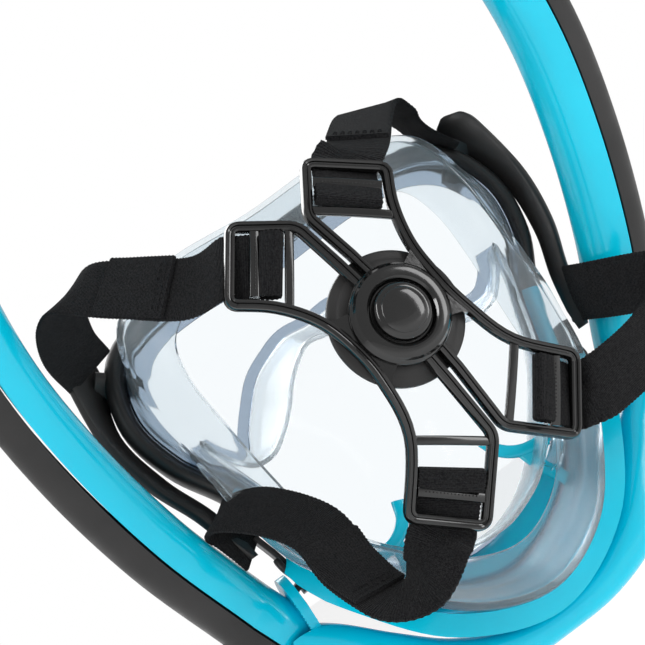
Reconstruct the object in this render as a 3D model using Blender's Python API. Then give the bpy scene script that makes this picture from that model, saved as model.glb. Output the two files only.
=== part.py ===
"""Full-face snorkel mask with two side breathing tubes, a dry-top crown and a four-strap head harness.

Sizes below are in millimetres, and MM turns them into the scene's metres. X runs to the wearer's left,
Y back towards the wearer's head and Z up. The origin lies in the middle of the face opening.
"""

import math

import bmesh
import bpy
from mathutils import Euler, Matrix, Vector

MM = 0.001
SIDES = (("left", 1), ("right", -1))

# ---- driving sizes -------------------------------------------------------------------------------
LENS_THICKNESS = 2.5
LENS_CENTRE_Z = -25
LENS_FRONT_Y = -56
LENS_BULGE = 2.2  # how the dome falls away from its middle
FRAME_WIDTH = 6.0
FRAME_GAP = 0.5
FRAME_BACK = 5.0
SKIRT_WALL = 1.8
INNER_WALL = 1.6
LENS_TO_NOSE = 2.2

TUBE_HALF_WIDTH = 14.0
TUBE_HALF_DEPTH = 13.0
TUBE_WALL = 2.2
TUBE_SEAM_U = 1.3  # where the two halves of a tube meet, measured outwards from its middle
TUBE_SEAM_GAP = 0.35

HINGE_Y = 4.0
HINGE_Z = -70.0
BARREL_RADIUS = 13.5
BARREL_X = (79.2, 103.0)
CHEEK_X = (74.6, 78.6)
CHEEK_RADIUS = 14.5
BARREL_CLEARANCE = 0.9
SWING_RADIUS = 22.0
SWING_END = 135
PIN_RADIUS = 4.5

PIN_START = 73.6
PIN_HEAD = 103.4
BUTTON_START = 106.6
LOOP_LEAN = math.radians(22)  # the crown leans back with the tube loop
CROWN_CENTRE = (0, 119, 212)
CROWN_HALF_LENGTH = 27
CROWN_RADIUS = 16.5
CHIMNEY_RADIUS = 19.0
CHIMNEY_TOP = 38
CAGE_HEIGHT = 47
FLOAT_RADIUS = 12.5
FLOAT_HEIGHT = 14.0
FLOAT_LIFT = 6.0

HARNESS_CENTRE = (2.9, 105.5, -7.3)
HARNESS_TURN = Euler((0.0, math.radians(8.6), math.radians(6.9)))
HARNESS_CROWNING = 12.0  # how far the strap loops sit ahead of the hub
HARNESS_REACH = 62.0
HARNESS_BAR = 3.7
HARNESS_THICKNESS = 4.0
HUB_RADIUS = 18.0
PAD_RADIUS = 24.5
PAD_BACK = 7.6  # how far the pad's flat face stands behind the hub's middle
BUTTON_RADIUS = 11.0
STRAP_WIDTH = 25.0
STRAP_THICKNESS = 1.6

PURGE_PLACE = (0, 4.6, -128.5)
PURGE_TILT = math.radians(100)
PURGE_RADIUS = 9.5

# ---- outlines: half of each, from the top middle down to the bottom middle ------------------------
LENS_EDGE = [
    (0, -26, 60), (45, -23, 60), (76, -13, 51), (87, -6, 28), (83, 0, 4),
    (71, 2, -18), (64, 1, -42), (57, 0, -66), (40, 0, -91), (0, 0, -109),
]
FACE_RIM = [
    (0, -12, 73), (40, -7, 73), (70, 0, 62), (79, 5, 38), (78, 11, 6),
    (75, 16, -28), (68, 23, -56), (50, 38, -82), (28, 46, -105), (0, 48, -115),
]
SEAL_LIP = [
    (0, -17, 54), (36, -12, 55), (55, -3, 46), (61, 2, 28), (60, 7, 4),
    (57, 11, -26), (54, 17, -48), (40, 31, -70), (22, 41, -88), (0, 44, -96),
]
NOSE_RIM = [
    (0, 2, 20), (20, 2, 18), (36, 5, 6), (43, 10, -10), (47, 17, -30),
    (46, 26, -48), (38, 33, -64), (24, 38, -76), (10, 41, -83), (0, 42, -85),
]
NOSE_WAIST = [
    (0, -20, 20), (22, -19, 17), (40, -14, 3), (49, -8, -14), (53, -3, -32),
    (52, 2, -50), (45, 8, -68), (31, 14, -84), (14, 17, -92), (0, 18, -94),
]
NOSE_FOOT = [  # x and z; it stands just behind the lens
    (0, 7), (24, 4), (42, -7), (51, -24), (53, -40), (48, -58), (41, -74), (28, -85), (13, -92), (0, -94),
]
CHIN_ROUTE = [(0, 21, -129), (22, 21, -127), (43, 20, -119), (61, 15, -106), (76, 8, -93), (88, 4.5, -86)]
CHIN_HALF_WIDTHS = [6.5, 7.5, 9.5, 11.5, 13.0, 14.5]
TUBE_ROUTE = [
    (94.5, 4, -70), (97, 6, -55), (110, 20.5, -20), (119.5, 37.5, 20), (123.5, 55, 60),
    (119.5, 72, 100), (107, 88.5, 140), (86, 103, 176), (60, 113.5, 200), (33, 118.2, 210.5),
]
# height: outer edge (x, y), inner edge (x, y)
SIDE_ARM = [
    (61, (96, -5), (90, -10)), (58, (99, -3), (88, -13)), (50, (101.5, -1), (88.5, -15)),
    (25, (102.5, 3.5), (96.5, -7.5)), (0, (98, 9), (92, 1.5)), (-21, (89.5, 12.5), (84, 6)),
    (-44, (83, 13), (79, 8)),
]
# A strap's middle line from its anchor to the harness, with the direction of its width at each point.
STRAPS = {
    "upper_left": [
        ((94, 3, 64), (0.8, 0.1, -0.6)), ((96, 24, 68), (0.75, 0, -0.6)),
        ((93, 45, 73), (0.8, 0, -0.6)), ((84, 59, 68), (0.8, 0, -0.6)),
        ((66, 73, 54), (0.7, 0, -0.7)), ((52, 84, 44), (0.66, 0, -0.75)),
        ((40, 91, 38), (0.6, 0, -0.8)), ((28, 93.5, 29), (0.57, 0, -0.82)),
    ],
    "upper_right": [
        ((-88, 3, 63), (-0.8, 0.1, -0.6)), ((-78, 20, 66), (-0.8, 0.3, -0.5)),
        ((-63, 40, 72), (-0.8, 0.3, -0.5)), ((-47, 58, 71), (-0.85, 0.1, -0.5)),
        ((-36, 72, 63), (-0.85, 0, -0.53)), ((-28, 81, 54), (-0.85, 0, -0.53)),
        ((-20, 86.5, 44), (-0.82, 0, -0.57)), ((-11, 90.5, 33), (-0.8, 0, -0.6)),
    ],
    "lower_left": [
        ((81, 19.5, -33), (-0.25, 0, -0.97)), ((74, 27, -36), (0.3, 0, -0.95)),
        ((65, 40, -49), (0.6, 0, -0.8)), ((61, 58, -69), (0.5, 0.3, -0.8)),
        ((52, 70, -82), (-0.2, 0.3, -0.9)), ((42, 79, -83), (-0.8, 0.2, -0.5)),
        ((34, 84, -76), (-0.85, 0, -0.53)), ((20, 88.5, -58), (-0.82, 0, -0.57)),
        ((11, 91, -47), (-0.8, 0, -0.6)),
    ],
    "lower_right": [
        ((-81, 19.5, -33), (0.25, 0, -0.97)), ((-84, 32, -38), (-0.1, 0, -1.0)),
        ((-96, 42, -46), (0.2, 0, -0.98)), ((-104, 54, -54), (0.3, 0.2, -0.93)),
        ((-95, 65, -62), (0.45, 0, -0.9)), ((-74, 73, -65), (0.55, 0, -0.83)),
        ((-54, 78, -64), (0.6, 0, -0.8)), ((-39, 81, -56), (0.62, 0, -0.78)),
        ((-26, 84, -46), (0.62, 0, -0.78)),
    ],
}
# One side of the harness frame, from the hub round both strap loops and back, in the harness's own plane.
HARNESS_SIDE = [
    (3.0, 13), (3.0, 26), (2.9, 46), (18.4, 61.5), (38.4, 41.5), (28.5, 30), (22.0, 17), (19.8, 4),
    (20.2, -12), (25.5, -32), (42.6, -51.5), (23.6, -71.6), (2.6, -51), (3.0, -26), (3.0, -13),
]
HARNESS_CORNERS = {2, 3, 4, 10, 11, 12}
INNER_BARS = [((3.4, 45.6), (25.6, 24.0)), ((3.2, -50.6), (25.2, -30.5))]
KEEPERS = {"upper": ((16.0, 52.0), (29.4, 38.6)), "lower": ((33.0, -48.4), (20.2, -62.0))}


# ---- materials -----------------------------------------------------------------------------------
def make_material(name, colour, roughness, metallic=0.0, alpha=1.0):
    material = bpy.data.materials.new(name)
    material.use_nodes = True
    shader = material.node_tree.nodes["Principled BSDF"]
    shader.inputs["Base Color"].default_value = (*colour, 1)
    shader.inputs["Roughness"].default_value = roughness
    shader.inputs["Metallic"].default_value = metallic
    shader.inputs["Alpha"].default_value = alpha
    return material


def make_materials():
    return {
        "lens_clear": make_material("lens_clear", (0.9, 0.95, 0.98), 0.05, alpha=0.25),
        "silicone_clear": make_material("silicone_clear", (0.85, 0.9, 0.93), 0.3, alpha=0.45),
        "teal_gloss": make_material("teal_gloss", (0.01, 0.55, 0.7), 0.2),
        "black_satin": make_material("black_satin", (0.035, 0.035, 0.036), 0.45),
        "black_gloss": make_material("black_gloss", (0.012, 0.012, 0.013), 0.12),
        "webbing": make_material("webbing", (0.015, 0.015, 0.016), 0.85),
        "float_white": make_material("float_white", (0.8, 0.8, 0.78), 0.4),
        "seal_rubber": make_material("seal_rubber", (0.05, 0.05, 0.05), 0.6),
    }


# ---- mesh helpers --------------------------------------------------------------------------------
def add_object(name, bm, material, origin=(0, 0, 0), smooth=35):
    """Turns a bmesh in millimetres into an object in metres whose origin is at the given point."""
    bmesh.ops.recalc_face_normals(bm, faces=bm.faces)
    bmesh.ops.translate(bm, verts=bm.verts, vec=-Vector(origin))
    bmesh.ops.scale(bm, verts=bm.verts, vec=(MM, MM, MM))
    mesh = bpy.data.meshes.new(name)
    bm.to_mesh(mesh)
    bm.free()
    mesh.shade_smooth()
    mesh.set_sharp_from_angle(angle=math.radians(smooth))
    obj = bpy.data.objects.new(name, mesh)
    obj.location = Vector(origin) * MM
    obj.data.materials.append(material)
    bpy.context.scene.collection.objects.link(obj)
    return obj


def catmull(points, steps, closed=False):
    """A smooth line through the points, as Vectors, with the given steps in each stretch."""
    points = [Vector(p) for p in points]
    count = len(points)
    line = []
    for i in range(count if closed else count - 1):
        if closed:
            a, b, c, d = (points[(i + k) % count] for k in (-1, 0, 1, 2))
        else:
            b, c = points[i], points[i + 1]
            a = points[i - 1] if i else b * 2 - c
            d = points[i + 2] if i + 2 < count else c * 2 - b
        for k in range(steps):
            t = k / steps
            line.append(
                0.5 * (2 * b + (c - a) * t + (2 * a - 5 * b + 4 * c - d) * t**2
                       + (3 * b - a - 3 * c + d) * t**3)
            )
    if not closed:
        line.append(points[-1])
    return line


def ring_of(half, steps=3):
    """A closed loop from its left half, mirrored to the right."""
    right = [(-x, y, z) for x, y, z in reversed(half[1:-1])]
    return catmull(list(half) + right, steps, closed=True)


def offset_ring(ring, outwards, back=0.0):
    """Moves a loop outwards in its XZ plane and back along Y."""
    count = len(ring)
    moved = []
    for i, point in enumerate(ring):
        along = ring[(i + 1) % count] - ring[i - 1]
        normal = Vector((-along.z, 0, along.x)).normalized()
        moved.append(point + normal * outwards + Vector((0, back, 0)))
    return moved


def loft(rings, around=False, ends="fan"):
    """Skins closed rings of equal length. around joins the last to the first, or the ends are capped."""
    bm = bmesh.new()
    rows = [[bm.verts.new(p) for p in ring] for ring in rings]
    count = len(rows[0])
    for k in range(len(rows) if around else len(rows) - 1):
        low, high = rows[k], rows[(k + 1) % len(rows)]
        for i in range(count):
            j = (i + 1) % count
            bm.faces.new((low[i], low[j], high[j], high[i]))
    if not around:
        for row in (rows[0], rows[-1]):
            if ends == "ngon":
                bm.faces.new(row)
                continue
            middle = bm.verts.new(sum((v.co for v in row), Vector()) / count)
            for i in range(count):
                bm.faces.new((row[i], row[(i + 1) % count], middle))
    return bm


def tangents_of(line):
    last = len(line) - 1
    return [(line[min(i + 1, last)] - line[max(i - 1, 0)]).normalized() for i in range(last + 1)]


def sweep(line, section_at, reference):
    """Sections (u, v) at each point of the line. v leans to the reference direction, and u is across it."""
    rings = []
    for i, (point, along) in enumerate(zip(line, tangents_of(line))):
        lean = reference[i] if isinstance(reference, list) else Vector(reference)
        v = (lean - along * lean.dot(along)).normalized()
        u = v.cross(along).normalized()
        rings.append([point + u * a + v * b for a, b in section_at(i / (len(line) - 1))])
    return rings


def superellipse(half_width, half_depth, start, end, count, power=2.6):
    """Points of a rounded box from one angle to another, in degrees."""
    points = []
    for k in range(count):
        angle = math.radians(start + (end - start) * k / (count - 1))
        c, s = math.cos(angle), math.sin(angle)
        points.append((
            half_width * math.copysign(abs(c) ** (2 / power), c),
            half_depth * math.copysign(abs(s) ** (2 / power), s),
        ))
    return points


def cylinder(radius, low, high, axis="Z", centre=(0, 0, 0), sides=32):
    """A round bar between two places on an axis through the centre."""
    bm = bmesh.new()
    bmesh.ops.create_cone(
        bm, cap_ends=True, segments=sides, radius1=radius, radius2=radius, depth=high - low
    )
    bmesh.ops.translate(bm, verts=bm.verts, vec=(0, 0, (low + high) / 2))
    turn = {"X": Matrix.Rotation(math.pi / 2, 4, "Y"), "Y": Matrix.Rotation(-math.pi / 2, 4, "X")}
    if axis in turn:
        bmesh.ops.transform(bm, verts=bm.verts, matrix=turn[axis])
    bmesh.ops.translate(bm, verts=bm.verts, vec=centre)
    return bm


def knuckle_room(low, high):
    """The space a tube's knuckle needs about the hinge, with room for the tube to swing forwards."""
    rings = []
    for x in (low, high):
        ring = []
        for k in range(40):
            degrees = 9 * k - 70  # counted from up, towards the front
            radius = SWING_RADIUS if degrees < SWING_END else BARREL_RADIUS + BARREL_CLEARANCE
            angle = math.radians(degrees)
            ring.append(Vector((x, HINGE_Y - radius * math.sin(angle), HINGE_Z + radius * math.cos(angle))))
        rings.append(ring)
    return loft(rings, ends="ngon")


def box(low, high):
    bm = bmesh.new()
    bmesh.ops.create_cube(bm, size=1)
    size = [b - a for a, b in zip(low, high)]
    bmesh.ops.scale(bm, verts=bm.verts, vec=size)
    bmesh.ops.translate(bm, verts=bm.verts, vec=[(a + b) / 2 for a, b in zip(low, high)])
    return bm


def turned(profile, sides=32):
    """A closed solid turned about Z from its profile of (radius, height), listed round the profile."""
    bm = bmesh.new()
    rows = []
    for k in range(sides):
        c, s = math.cos(2 * math.pi * k / sides), math.sin(2 * math.pi * k / sides)
        rows.append([(r * c, r * s, z) for r, z in profile])
    verts = {}

    def vert(point):
        key = tuple(round(value, 5) for value in point)
        if key not in verts:
            verts[key] = bm.verts.new(point)
        return verts[key]

    count = len(profile)
    for k in range(sides):
        near, far = rows[k], rows[(k + 1) % sides]
        for i in range(count):
            j = (i + 1) % count
            corners = []
            for point in (near[i], far[i], far[j], near[j]):
                corner = vert(point)
                if corner not in corners:
                    corners.append(corner)
            if len(corners) > 2:
                bm.faces.new(corners)
    return bm


def combine(obj, other, operation):
    """Adds an exact Boolean with a helper object that isn't part of the model."""
    other.hide_render = True
    other.display_type = "WIRE"
    modifier = obj.modifiers.new(f"{operation.lower()} {other.name}", "BOOLEAN")
    modifier.operation = operation
    modifier.object = other
    modifier.solver = "EXACT"


def helper(name, bm, material):
    return add_object("tool_" + name, bm, material)


def mirrored(points, side):
    return [Vector((p[0] * side, p[1], p[2])) for p in points]


# ---- mask body -----------------------------------------------------------------------------------
def lens_rings(edge, thickness_back):
    """Rings from the lens's edge in to its middle, on the domed surface."""
    rings = []
    for share in (1.0, 0.86, 0.66, 0.42, 0.18):
        ring = []
        for point in edge:
            y = LENS_FRONT_Y + (point.y - LENS_FRONT_Y) * share**LENS_BULGE
            ring.append(Vector((
                point.x * share, y + thickness_back, LENS_CENTRE_Z + (point.z - LENS_CENTRE_Z) * share
            )))
        rings.append(ring)
    return rings


def behind_lens(x, z, gap):
    """The point at x, z that stands a gap behind the lens."""
    edge = ring_of(LENS_EDGE)
    angle = math.atan2(x, z - LENS_CENTRE_Z)

    def turn_from(point):
        return abs(math.remainder(math.atan2(point.x, point.z - LENS_CENTRE_Z) - angle, 2 * math.pi))

    rim = min(edge, key=turn_from)
    share = math.hypot(x, z - LENS_CENTRE_Z) / math.hypot(rim.x, rim.z - LENS_CENTRE_Z)
    return (x, LENS_FRONT_Y + (rim.y - LENS_FRONT_Y) * share**LENS_BULGE + LENS_THICKNESS + gap, z)


def make_lens(materials):
    edge = ring_of(LENS_EDGE)
    front = lens_rings(edge, 0)
    back = lens_rings(offset_ring(edge, -0.3), LENS_THICKNESS)
    return add_object("lens", loft(list(reversed(front)) + back), materials["lens_clear"])


def make_lens_frame(materials):
    edge = ring_of(LENS_EDGE)
    section = [
        (FRAME_GAP, -6), (1.5, -7.5), (FRAME_WIDTH - 1.5, -7), (FRAME_WIDTH, -5),
        (FRAME_WIDTH, FRAME_BACK - 1.5), (FRAME_WIDTH - 1, FRAME_BACK), (FRAME_GAP + 0.5, FRAME_BACK),
        (FRAME_GAP, FRAME_BACK - 1),
    ]
    rings = [offset_ring(edge, out, back) for out, back in section]
    return add_object("lens_frame", loft(rings, around=True), materials["black_satin"])


def make_skirt(materials):
    foot = offset_ring(ring_of(LENS_EDGE), 1.0, FRAME_BACK + 0.5)
    rim, lip = ring_of(FACE_RIM), ring_of(SEAL_LIP)
    middle = [a.lerp(b, 0.5) for a, b in zip(foot, rim)]
    fold = [a.lerp(b, 0.25) + Vector((0, 1.5, 0)) for a, b in zip(rim, lip)]
    outer = [offset_ring(foot, 2.5), offset_ring(middle, 1.0), rim, fold, lip]
    inner = [
        offset_ring(lip, 0, -0.9), offset_ring(fold, -0.3, -SKIRT_WALL),
        offset_ring(rim, -SKIRT_WALL, -SKIRT_WALL),
        offset_ring(middle, 1.0 - SKIRT_WALL), offset_ring(foot, 2.5 - SKIRT_WALL),
    ]
    return add_object("skirt", loft(outer + inner, around=True), materials["silicone_clear"])


def valve_place(side):
    """Where an inner valve sits: its middle and the way it faces, out of the nose pocket's lower wall."""
    return Vector((39 * side, 10.5, -76)), Vector((0.66 * side, -0.15, -0.74)).normalized()


def placed(bm, place, direction):
    turn = Vector((0, 0, 1)).rotation_difference(direction).to_matrix().to_4x4()
    bmesh.ops.transform(bm, verts=bm.verts, matrix=Matrix.Translation(place) @ turn)
    return bm


def make_inner_mask(materials):
    foot = ring_of([behind_lens(x, z, LENS_TO_NOSE) for x, z in NOSE_FOOT])
    rim, waist = ring_of(NOSE_RIM), ring_of(NOSE_WAIST)
    outer = [foot, waist, rim]
    inner = [offset_ring(ring, -INNER_WALL) for ring in reversed(outer)]
    mask = add_object("inner_mask", loft(outer + inner, around=True), materials["silicone_clear"])
    for name, side in SIDES:
        place, direction = valve_place(side)
        cutter = placed(cylinder(8.9, -9, 9, sides=24), place, direction)
        combine(mask, helper("valve_hole_" + name, cutter, materials["silicone_clear"]), "DIFFERENCE")
    return mask


def make_inner_valves(materials):
    for name, side in SIDES:
        place, direction = valve_place(side)
        seat = turned([(6.2, -2.2), (8.3, -2.2), (8.3, 2.2), (6.2, 2.2)], 24)
        add_object("valve_seat_" + name, placed(seat, place, direction), materials["lens_clear"], place)
        flap = turned([(0, 2.6), (7.6, 2.6), (7.6, 3.4), (0, 3.9)], 24)
        add_object("valve_flap_" + name, placed(flap, place, direction), materials["silicone_clear"], place)


def make_side_arm(name, side, materials):
    steps = 3
    outer = catmull([(x * side, y, z) for z, (x, y), _ in SIDE_ARM], steps)
    inner = catmull([(x * side, y, z) for z, _, (x, y) in SIDE_ARM], steps)
    rings = []
    for a, b in zip(outer, inner):
        across = (b - a).normalized()
        out = across.cross(Vector((0, 0, side))).normalized() * 2.0
        rings.append([a - out * 0.4, a - out, b - out, b - out * 0.3, b + out, a + out])
    return add_object("side_arm_" + name, loft(rings, ends="ngon"), materials["black_satin"])


# ---- chin block and hinges -----------------------------------------------------------------------
def chin_sections():
    line = catmull([(-x, y, z) for x, y, z in reversed(CHIN_ROUTE[1:])] + CHIN_ROUTE, 3)
    halves = catmull([(w, 0, 0) for w in list(reversed(CHIN_HALF_WIDTHS[1:])) + CHIN_HALF_WIDTHS], 3)
    widths = [point.x for point in halves]

    def section_at(share):
        width = widths[round(share * (len(widths) - 1))]
        return superellipse(width, 12.5, 0, 345, 24, 3.2)

    return line, section_at


def make_chin_block(materials):
    line, section_at = chin_sections()
    teal = materials["teal_gloss"]
    block = add_object("chin_block", loft(sweep(line, section_at, (0, 1, 0)), ends="ngon"), teal)
    for name, side in SIDES:
        low, high = sorted(side * x for x in CHEEK_X)
        disc = cylinder(CHEEK_RADIUS, low, high, "X", (0, HINGE_Y, HINGE_Z))
        combine(block, helper("cheek_" + name, disc, materials["teal_gloss"]), "UNION")
        low, high = sorted(side * x for x in (CHEEK_X[1] - 0.4, 125))
        combine(block, helper("knuckle_room_" + name, knuckle_room(low, high), teal), "DIFFERENCE")
        low, high = sorted(side * x for x in (70, 110))
        bore = cylinder(PIN_RADIUS + 0.3, low, high, "X", (0, HINGE_Y, HINGE_Z), 24)
        combine(block, helper("pin_bore_" + name, bore, materials["teal_gloss"]), "DIFFERENCE")
    return block


def make_hinge_pins(materials):
    for name, side in SIDES:
        shaft = [(0, PIN_START), (PIN_RADIUS, PIN_START), (PIN_RADIUS, PIN_HEAD)]
        head = [(7, PIN_HEAD), (7, PIN_HEAD + 1), (6, PIN_HEAD + 1.6), (0, PIN_HEAD + 1.6)]
        pin = turned(shaft + head, 24)
        placed(pin, Vector((0, HINGE_Y, HINGE_Z)), Vector((side, 0, 0)))
        add_object("hinge_pin_" + name, pin, materials["black_satin"])


def make_purge_valve(materials):
    place = Vector(PURGE_PLACE)
    direction = Vector((0, -math.sin(PURGE_TILT), math.cos(PURGE_TILT)))
    outer = PURGE_RADIUS
    seat = turned([(4, -2), (outer, -2), (outer, 1), (4, 1)])
    add_object("purge_seat", placed(seat, place, direction), materials["teal_gloss"], place)
    flap = turned([(0, 1.4), (outer - 2.5, 1.4), (outer - 2.5, 2.0), (0, 2.4)])
    add_object("purge_flap", placed(flap, place, direction), materials["silicone_clear"], place)
    cover = turned([
        (outer - 1.5, 1.4), (outer, 1.4), (outer, 5.5), (outer - 1.5, 6.5),
        (3, 7), (3, 5.8), (outer - 1.5, 5.2),
    ])
    add_object("purge_cover", placed(cover, place, direction), materials["black_satin"], place)


# ---- tube loop -----------------------------------------------------------------------------------
def half_shell(start, end, count):
    outer = superellipse(TUBE_HALF_WIDTH, TUBE_HALF_DEPTH, start, end, count)
    inner = superellipse(TUBE_HALF_WIDTH - TUBE_WALL, TUBE_HALF_DEPTH - TUBE_WALL, start, end, count)
    return outer + list(reversed(inner))


def loop_normal():
    return Vector((0, math.cos(LOOP_LEAN), -math.sin(LOOP_LEAN)))


def make_tube(name, side, materials):
    line = [Vector((p.x * side, p.y, p.z)) for p in catmull(TUBE_ROUTE[1:], 3)]
    seam = math.degrees(math.acos((TUBE_SEAM_U / TUBE_HALF_WIDTH) ** 1.3))
    gap = math.degrees(TUBE_SEAM_GAP / TUBE_HALF_DEPTH)
    shells = {
        "tube_shell_": (half_shell(seam + gap, 360 - seam - gap, 11), "teal_gloss"),
        "tube_cover_": (half_shell(-seam + gap, seam - gap, 9), "black_satin"),
    }
    for prefix, (section, material) in shells.items():
        section = [(u * side, v) for u, v in section]
        rings = sweep(line, lambda share, section=section: section, loop_normal())
        add_object(prefix + name, loft(rings, ends="ngon"), materials[material], (0, HINGE_Y, HINGE_Z))


def make_barrel(name, side, materials):
    """The round knuckle at a tube's lower end, with a plug that holds the tube's two halves."""
    low, high = sorted(side * x for x in BARREL_X)
    barrel = add_object(
        "tube_knuckle_" + name, cylinder(BARREL_RADIUS, low, high, "X", (0, HINGE_Y, HINGE_Z), 40),
        materials["black_satin"], (0, HINGE_Y, HINGE_Z),
    )
    line = mirrored([(91, HINGE_Y + 0.5, HINGE_Z + 3), (96.5, 5.8, -55.6)], side)
    plug = superellipse(8.0, 10.2, 0, 345, 24)
    stem = loft(sweep(line, lambda share: plug, loop_normal()), ends="ngon")
    combine(barrel, helper("stem_" + name, stem, materials["black_satin"]), "UNION")
    low, high = sorted(side * x for x in (70, 110))
    bore = cylinder(PIN_RADIUS + 0.3, low, high, "X", (0, HINGE_Y, HINGE_Z), 24)
    combine(barrel, helper("knuckle_bore_" + name, bore, materials["black_satin"]), "DIFFERENCE")
    return barrel


def crown_object(name, bm, material, origin=(0, HINGE_Y, HINGE_Z)):
    """Places a piece modelled about the crown's own axis. It turns with the tube loop."""
    bmesh.ops.transform(
        bm, verts=bm.verts, matrix=Matrix.Translation(CROWN_CENTRE) @ Matrix.Rotation(-LOOP_LEAN, 4, "X")
    )
    return add_object(name, bm, material, origin)


def make_crown(materials):
    teal = materials["teal_gloss"]
    body = crown_object(
        "crown_body", cylinder(CROWN_RADIUS, -CROWN_HALF_LENGTH, CROWN_HALF_LENGTH, "X", sides=36), teal
    )
    airway_reach = CROWN_HALF_LENGTH + 5
    parts = (
        ("chimney", cylinder(CHIMNEY_RADIUS, 0, CHIMNEY_TOP, sides=36), "UNION"),
        ("airway", cylinder(CROWN_RADIUS - 3, -airway_reach, airway_reach, "X", sides=36), "DIFFERENCE"),
        ("chimney_bore", cylinder(CHIMNEY_RADIUS - 2.5, -2, CHIMNEY_TOP + 5, sides=36), "DIFFERENCE"),
    )
    for name, bm, operation in parts:
        combine(body, crown_object("tool_" + name, bm, teal), operation)

    low, high = CHIMNEY_TOP + 0.4, CHIMNEY_TOP + CAGE_HEIGHT
    inner = CHIMNEY_RADIUS - 2.5
    base = low + 3.6
    seal = base + FLOAT_HEIGHT + 0.4
    seat = seal + 2 + FLOAT_LIFT + 0.5
    cage = crown_object(
        "float_cage",
        turned([(inner, low), (CHIMNEY_RADIUS, low), (CHIMNEY_RADIUS, high), (inner, high)], 36),
        materials["black_satin"],
    )
    rest = crown_object("tool_rest", box((-inner - 1, -2, low + 0.5), (inner + 1, 2, low + 3)), teal)
    combine(cage, rest, "UNION")
    for k in range(6):  # air comes in above the float's seat, and water lower down, where it lifts the float
        upper, lower = (seat + 3, high - 4), (base + 2, base + 9)
        for row, half, (bottom, top) in (("air", 4.5, upper), ("water", 1.6, lower)):
            window = box((-half, 8, bottom), (half, 30, top))
            turn = Matrix.Rotation((k + 0.5) * math.pi / 3, 3, "Z")
            bmesh.ops.rotate(window, verts=window.verts, matrix=turn)
            combine(cage, crown_object(f"tool_{row}_{k}", window, teal), "DIFFERENCE")

    ring = [(8, seat), (inner - 0.3, seat), (inner - 0.3, seat + 2.5), (8, seat + 2.5)]
    crown_object("float_seat", turned(ring), materials["black_satin"])
    r, top = FLOAT_RADIUS, base + FLOAT_HEIGHT
    float_profile = [(0, base), (r - 2, base), (r, base + 2), (r, top - 2), (r - 2, top), (0, top)]
    crown_object("float", turned(float_profile), materials["float_white"], CROWN_CENTRE)
    disc = [(0, seal), (r - 2, seal), (r - 2, seal + 2), (0, seal + 2)]
    crown_object("float_seal", turned(disc), materials["seal_rubber"], CROWN_CENTRE)
    cap = [(0, high + 0.4), (CHIMNEY_RADIUS + 1.5, high + 0.4), (CHIMNEY_RADIUS + 2, high + 5),
           (CHIMNEY_RADIUS - 3, high + 11), (8, high + 14), (0, high + 14.5)]
    crown_object("top_cap", turned(cap, 36), teal)


# ---- harness -------------------------------------------------------------------------------------
def crowned(x, z, lift=0.0):
    """A point of the harness's gently domed sheet, in its own frame."""
    return Vector((x, lift - HARNESS_CROWNING * (x * x + z * z) / HARNESS_REACH**2, z))


def rounded(points, corners, radius=3.0):
    """Points with each named corner cut back to a short curve of three."""
    line = []
    for i, point in enumerate(points):
        if i not in corners:
            line.append(Vector(point))
            continue
        here, before, after = Vector(point), Vector(points[i - 1]), Vector(points[i + 1])
        start = here + (before - here).normalized() * radius
        end = here + (after - here).normalized() * radius
        line += [start, (start + end + here * 2) / 4, end]
    return line


def to_harness(bm):
    turn = HARNESS_TURN.to_matrix().to_4x4()
    bmesh.ops.transform(bm, verts=bm.verts, matrix=Matrix.Translation(HARNESS_CENTRE) @ turn)
    return bm


def bar(line, width, thickness):
    """A bar with softened edges along a line on the harness's sheet."""
    w, t = width / 2, thickness / 2
    soft = 0.7
    section = [
        (w, t - soft), (w - soft, t), (soft - w, t), (-w, t - soft),
        (-w, soft - t), (soft - w, -t), (w - soft, -t), (w, soft - t),
    ]
    return loft(sweep(line, lambda share: section, (0, 1, 0)), ends="ngon")


def make_harness(materials):
    gloss = materials["black_gloss"]
    hub = to_harness(placed(cylinder(HUB_RADIUS, -2.2, 2.2, sides=48), Vector(), Vector((0, 1, 0))))
    frame = add_object("harness_frame", hub, gloss, HARNESS_CENTRE)
    for name, side in SIDES:
        flat = rounded([(x * side, z) for x, z in HARNESS_SIDE], HARNESS_CORNERS)
        line = [crowned(p.x, p.y) for p in flat]
        tool = helper("loops_" + name, to_harness(bar(line, HARNESS_BAR, HARNESS_THICKNESS)), gloss)
        combine(frame, tool, "UNION")
        for k, (start, end) in enumerate(INNER_BARS):
            line = [crowned(start[0] * side, start[1]), crowned(end[0] * side, end[1])]
            tool = helper(f"bar_{k}_{name}", to_harness(bar(line, 2.8, 2.6)), gloss)
            combine(frame, tool, "UNION")
        for where, (start, end) in KEEPERS.items():
            line = [crowned(start[0] * side, start[1], 0.3), crowned(end[0] * side, end[1], 0.3)]
            add_object(
                f"strap_keeper_{where}_{name}", to_harness(bar(line, 2.4, 1.8)), gloss, HARNESS_CENTRE
            )
    pad = turned([
        (0, -PAD_BACK), (PAD_RADIUS - 1, -PAD_BACK), (PAD_RADIUS, 0.8 - PAD_BACK), (PAD_RADIUS, 2 - PAD_BACK),
        (PAD_RADIUS - 1, 2.8 - PAD_BACK), (HUB_RADIUS, 4.2 - PAD_BACK), (0, 4.8 - PAD_BACK),
    ], 48)
    add_object("hub_pad", to_harness(placed(pad, Vector(), Vector((0, 1, 0)))), materials["black_satin"],
               HARNESS_CENTRE)
    dome = [(BUTTON_RADIUS, 4), (BUTTON_RADIUS - 2.5, 5.6), (4, 6.6), (0, 6.8)]
    button = turned([(0, 2.6), (BUTTON_RADIUS, 2.6)] + dome,
                    40)
    add_object("hub_button", to_harness(placed(button, Vector(), Vector((0, 1, 0)))), gloss, HARNESS_CENTRE)


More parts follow.
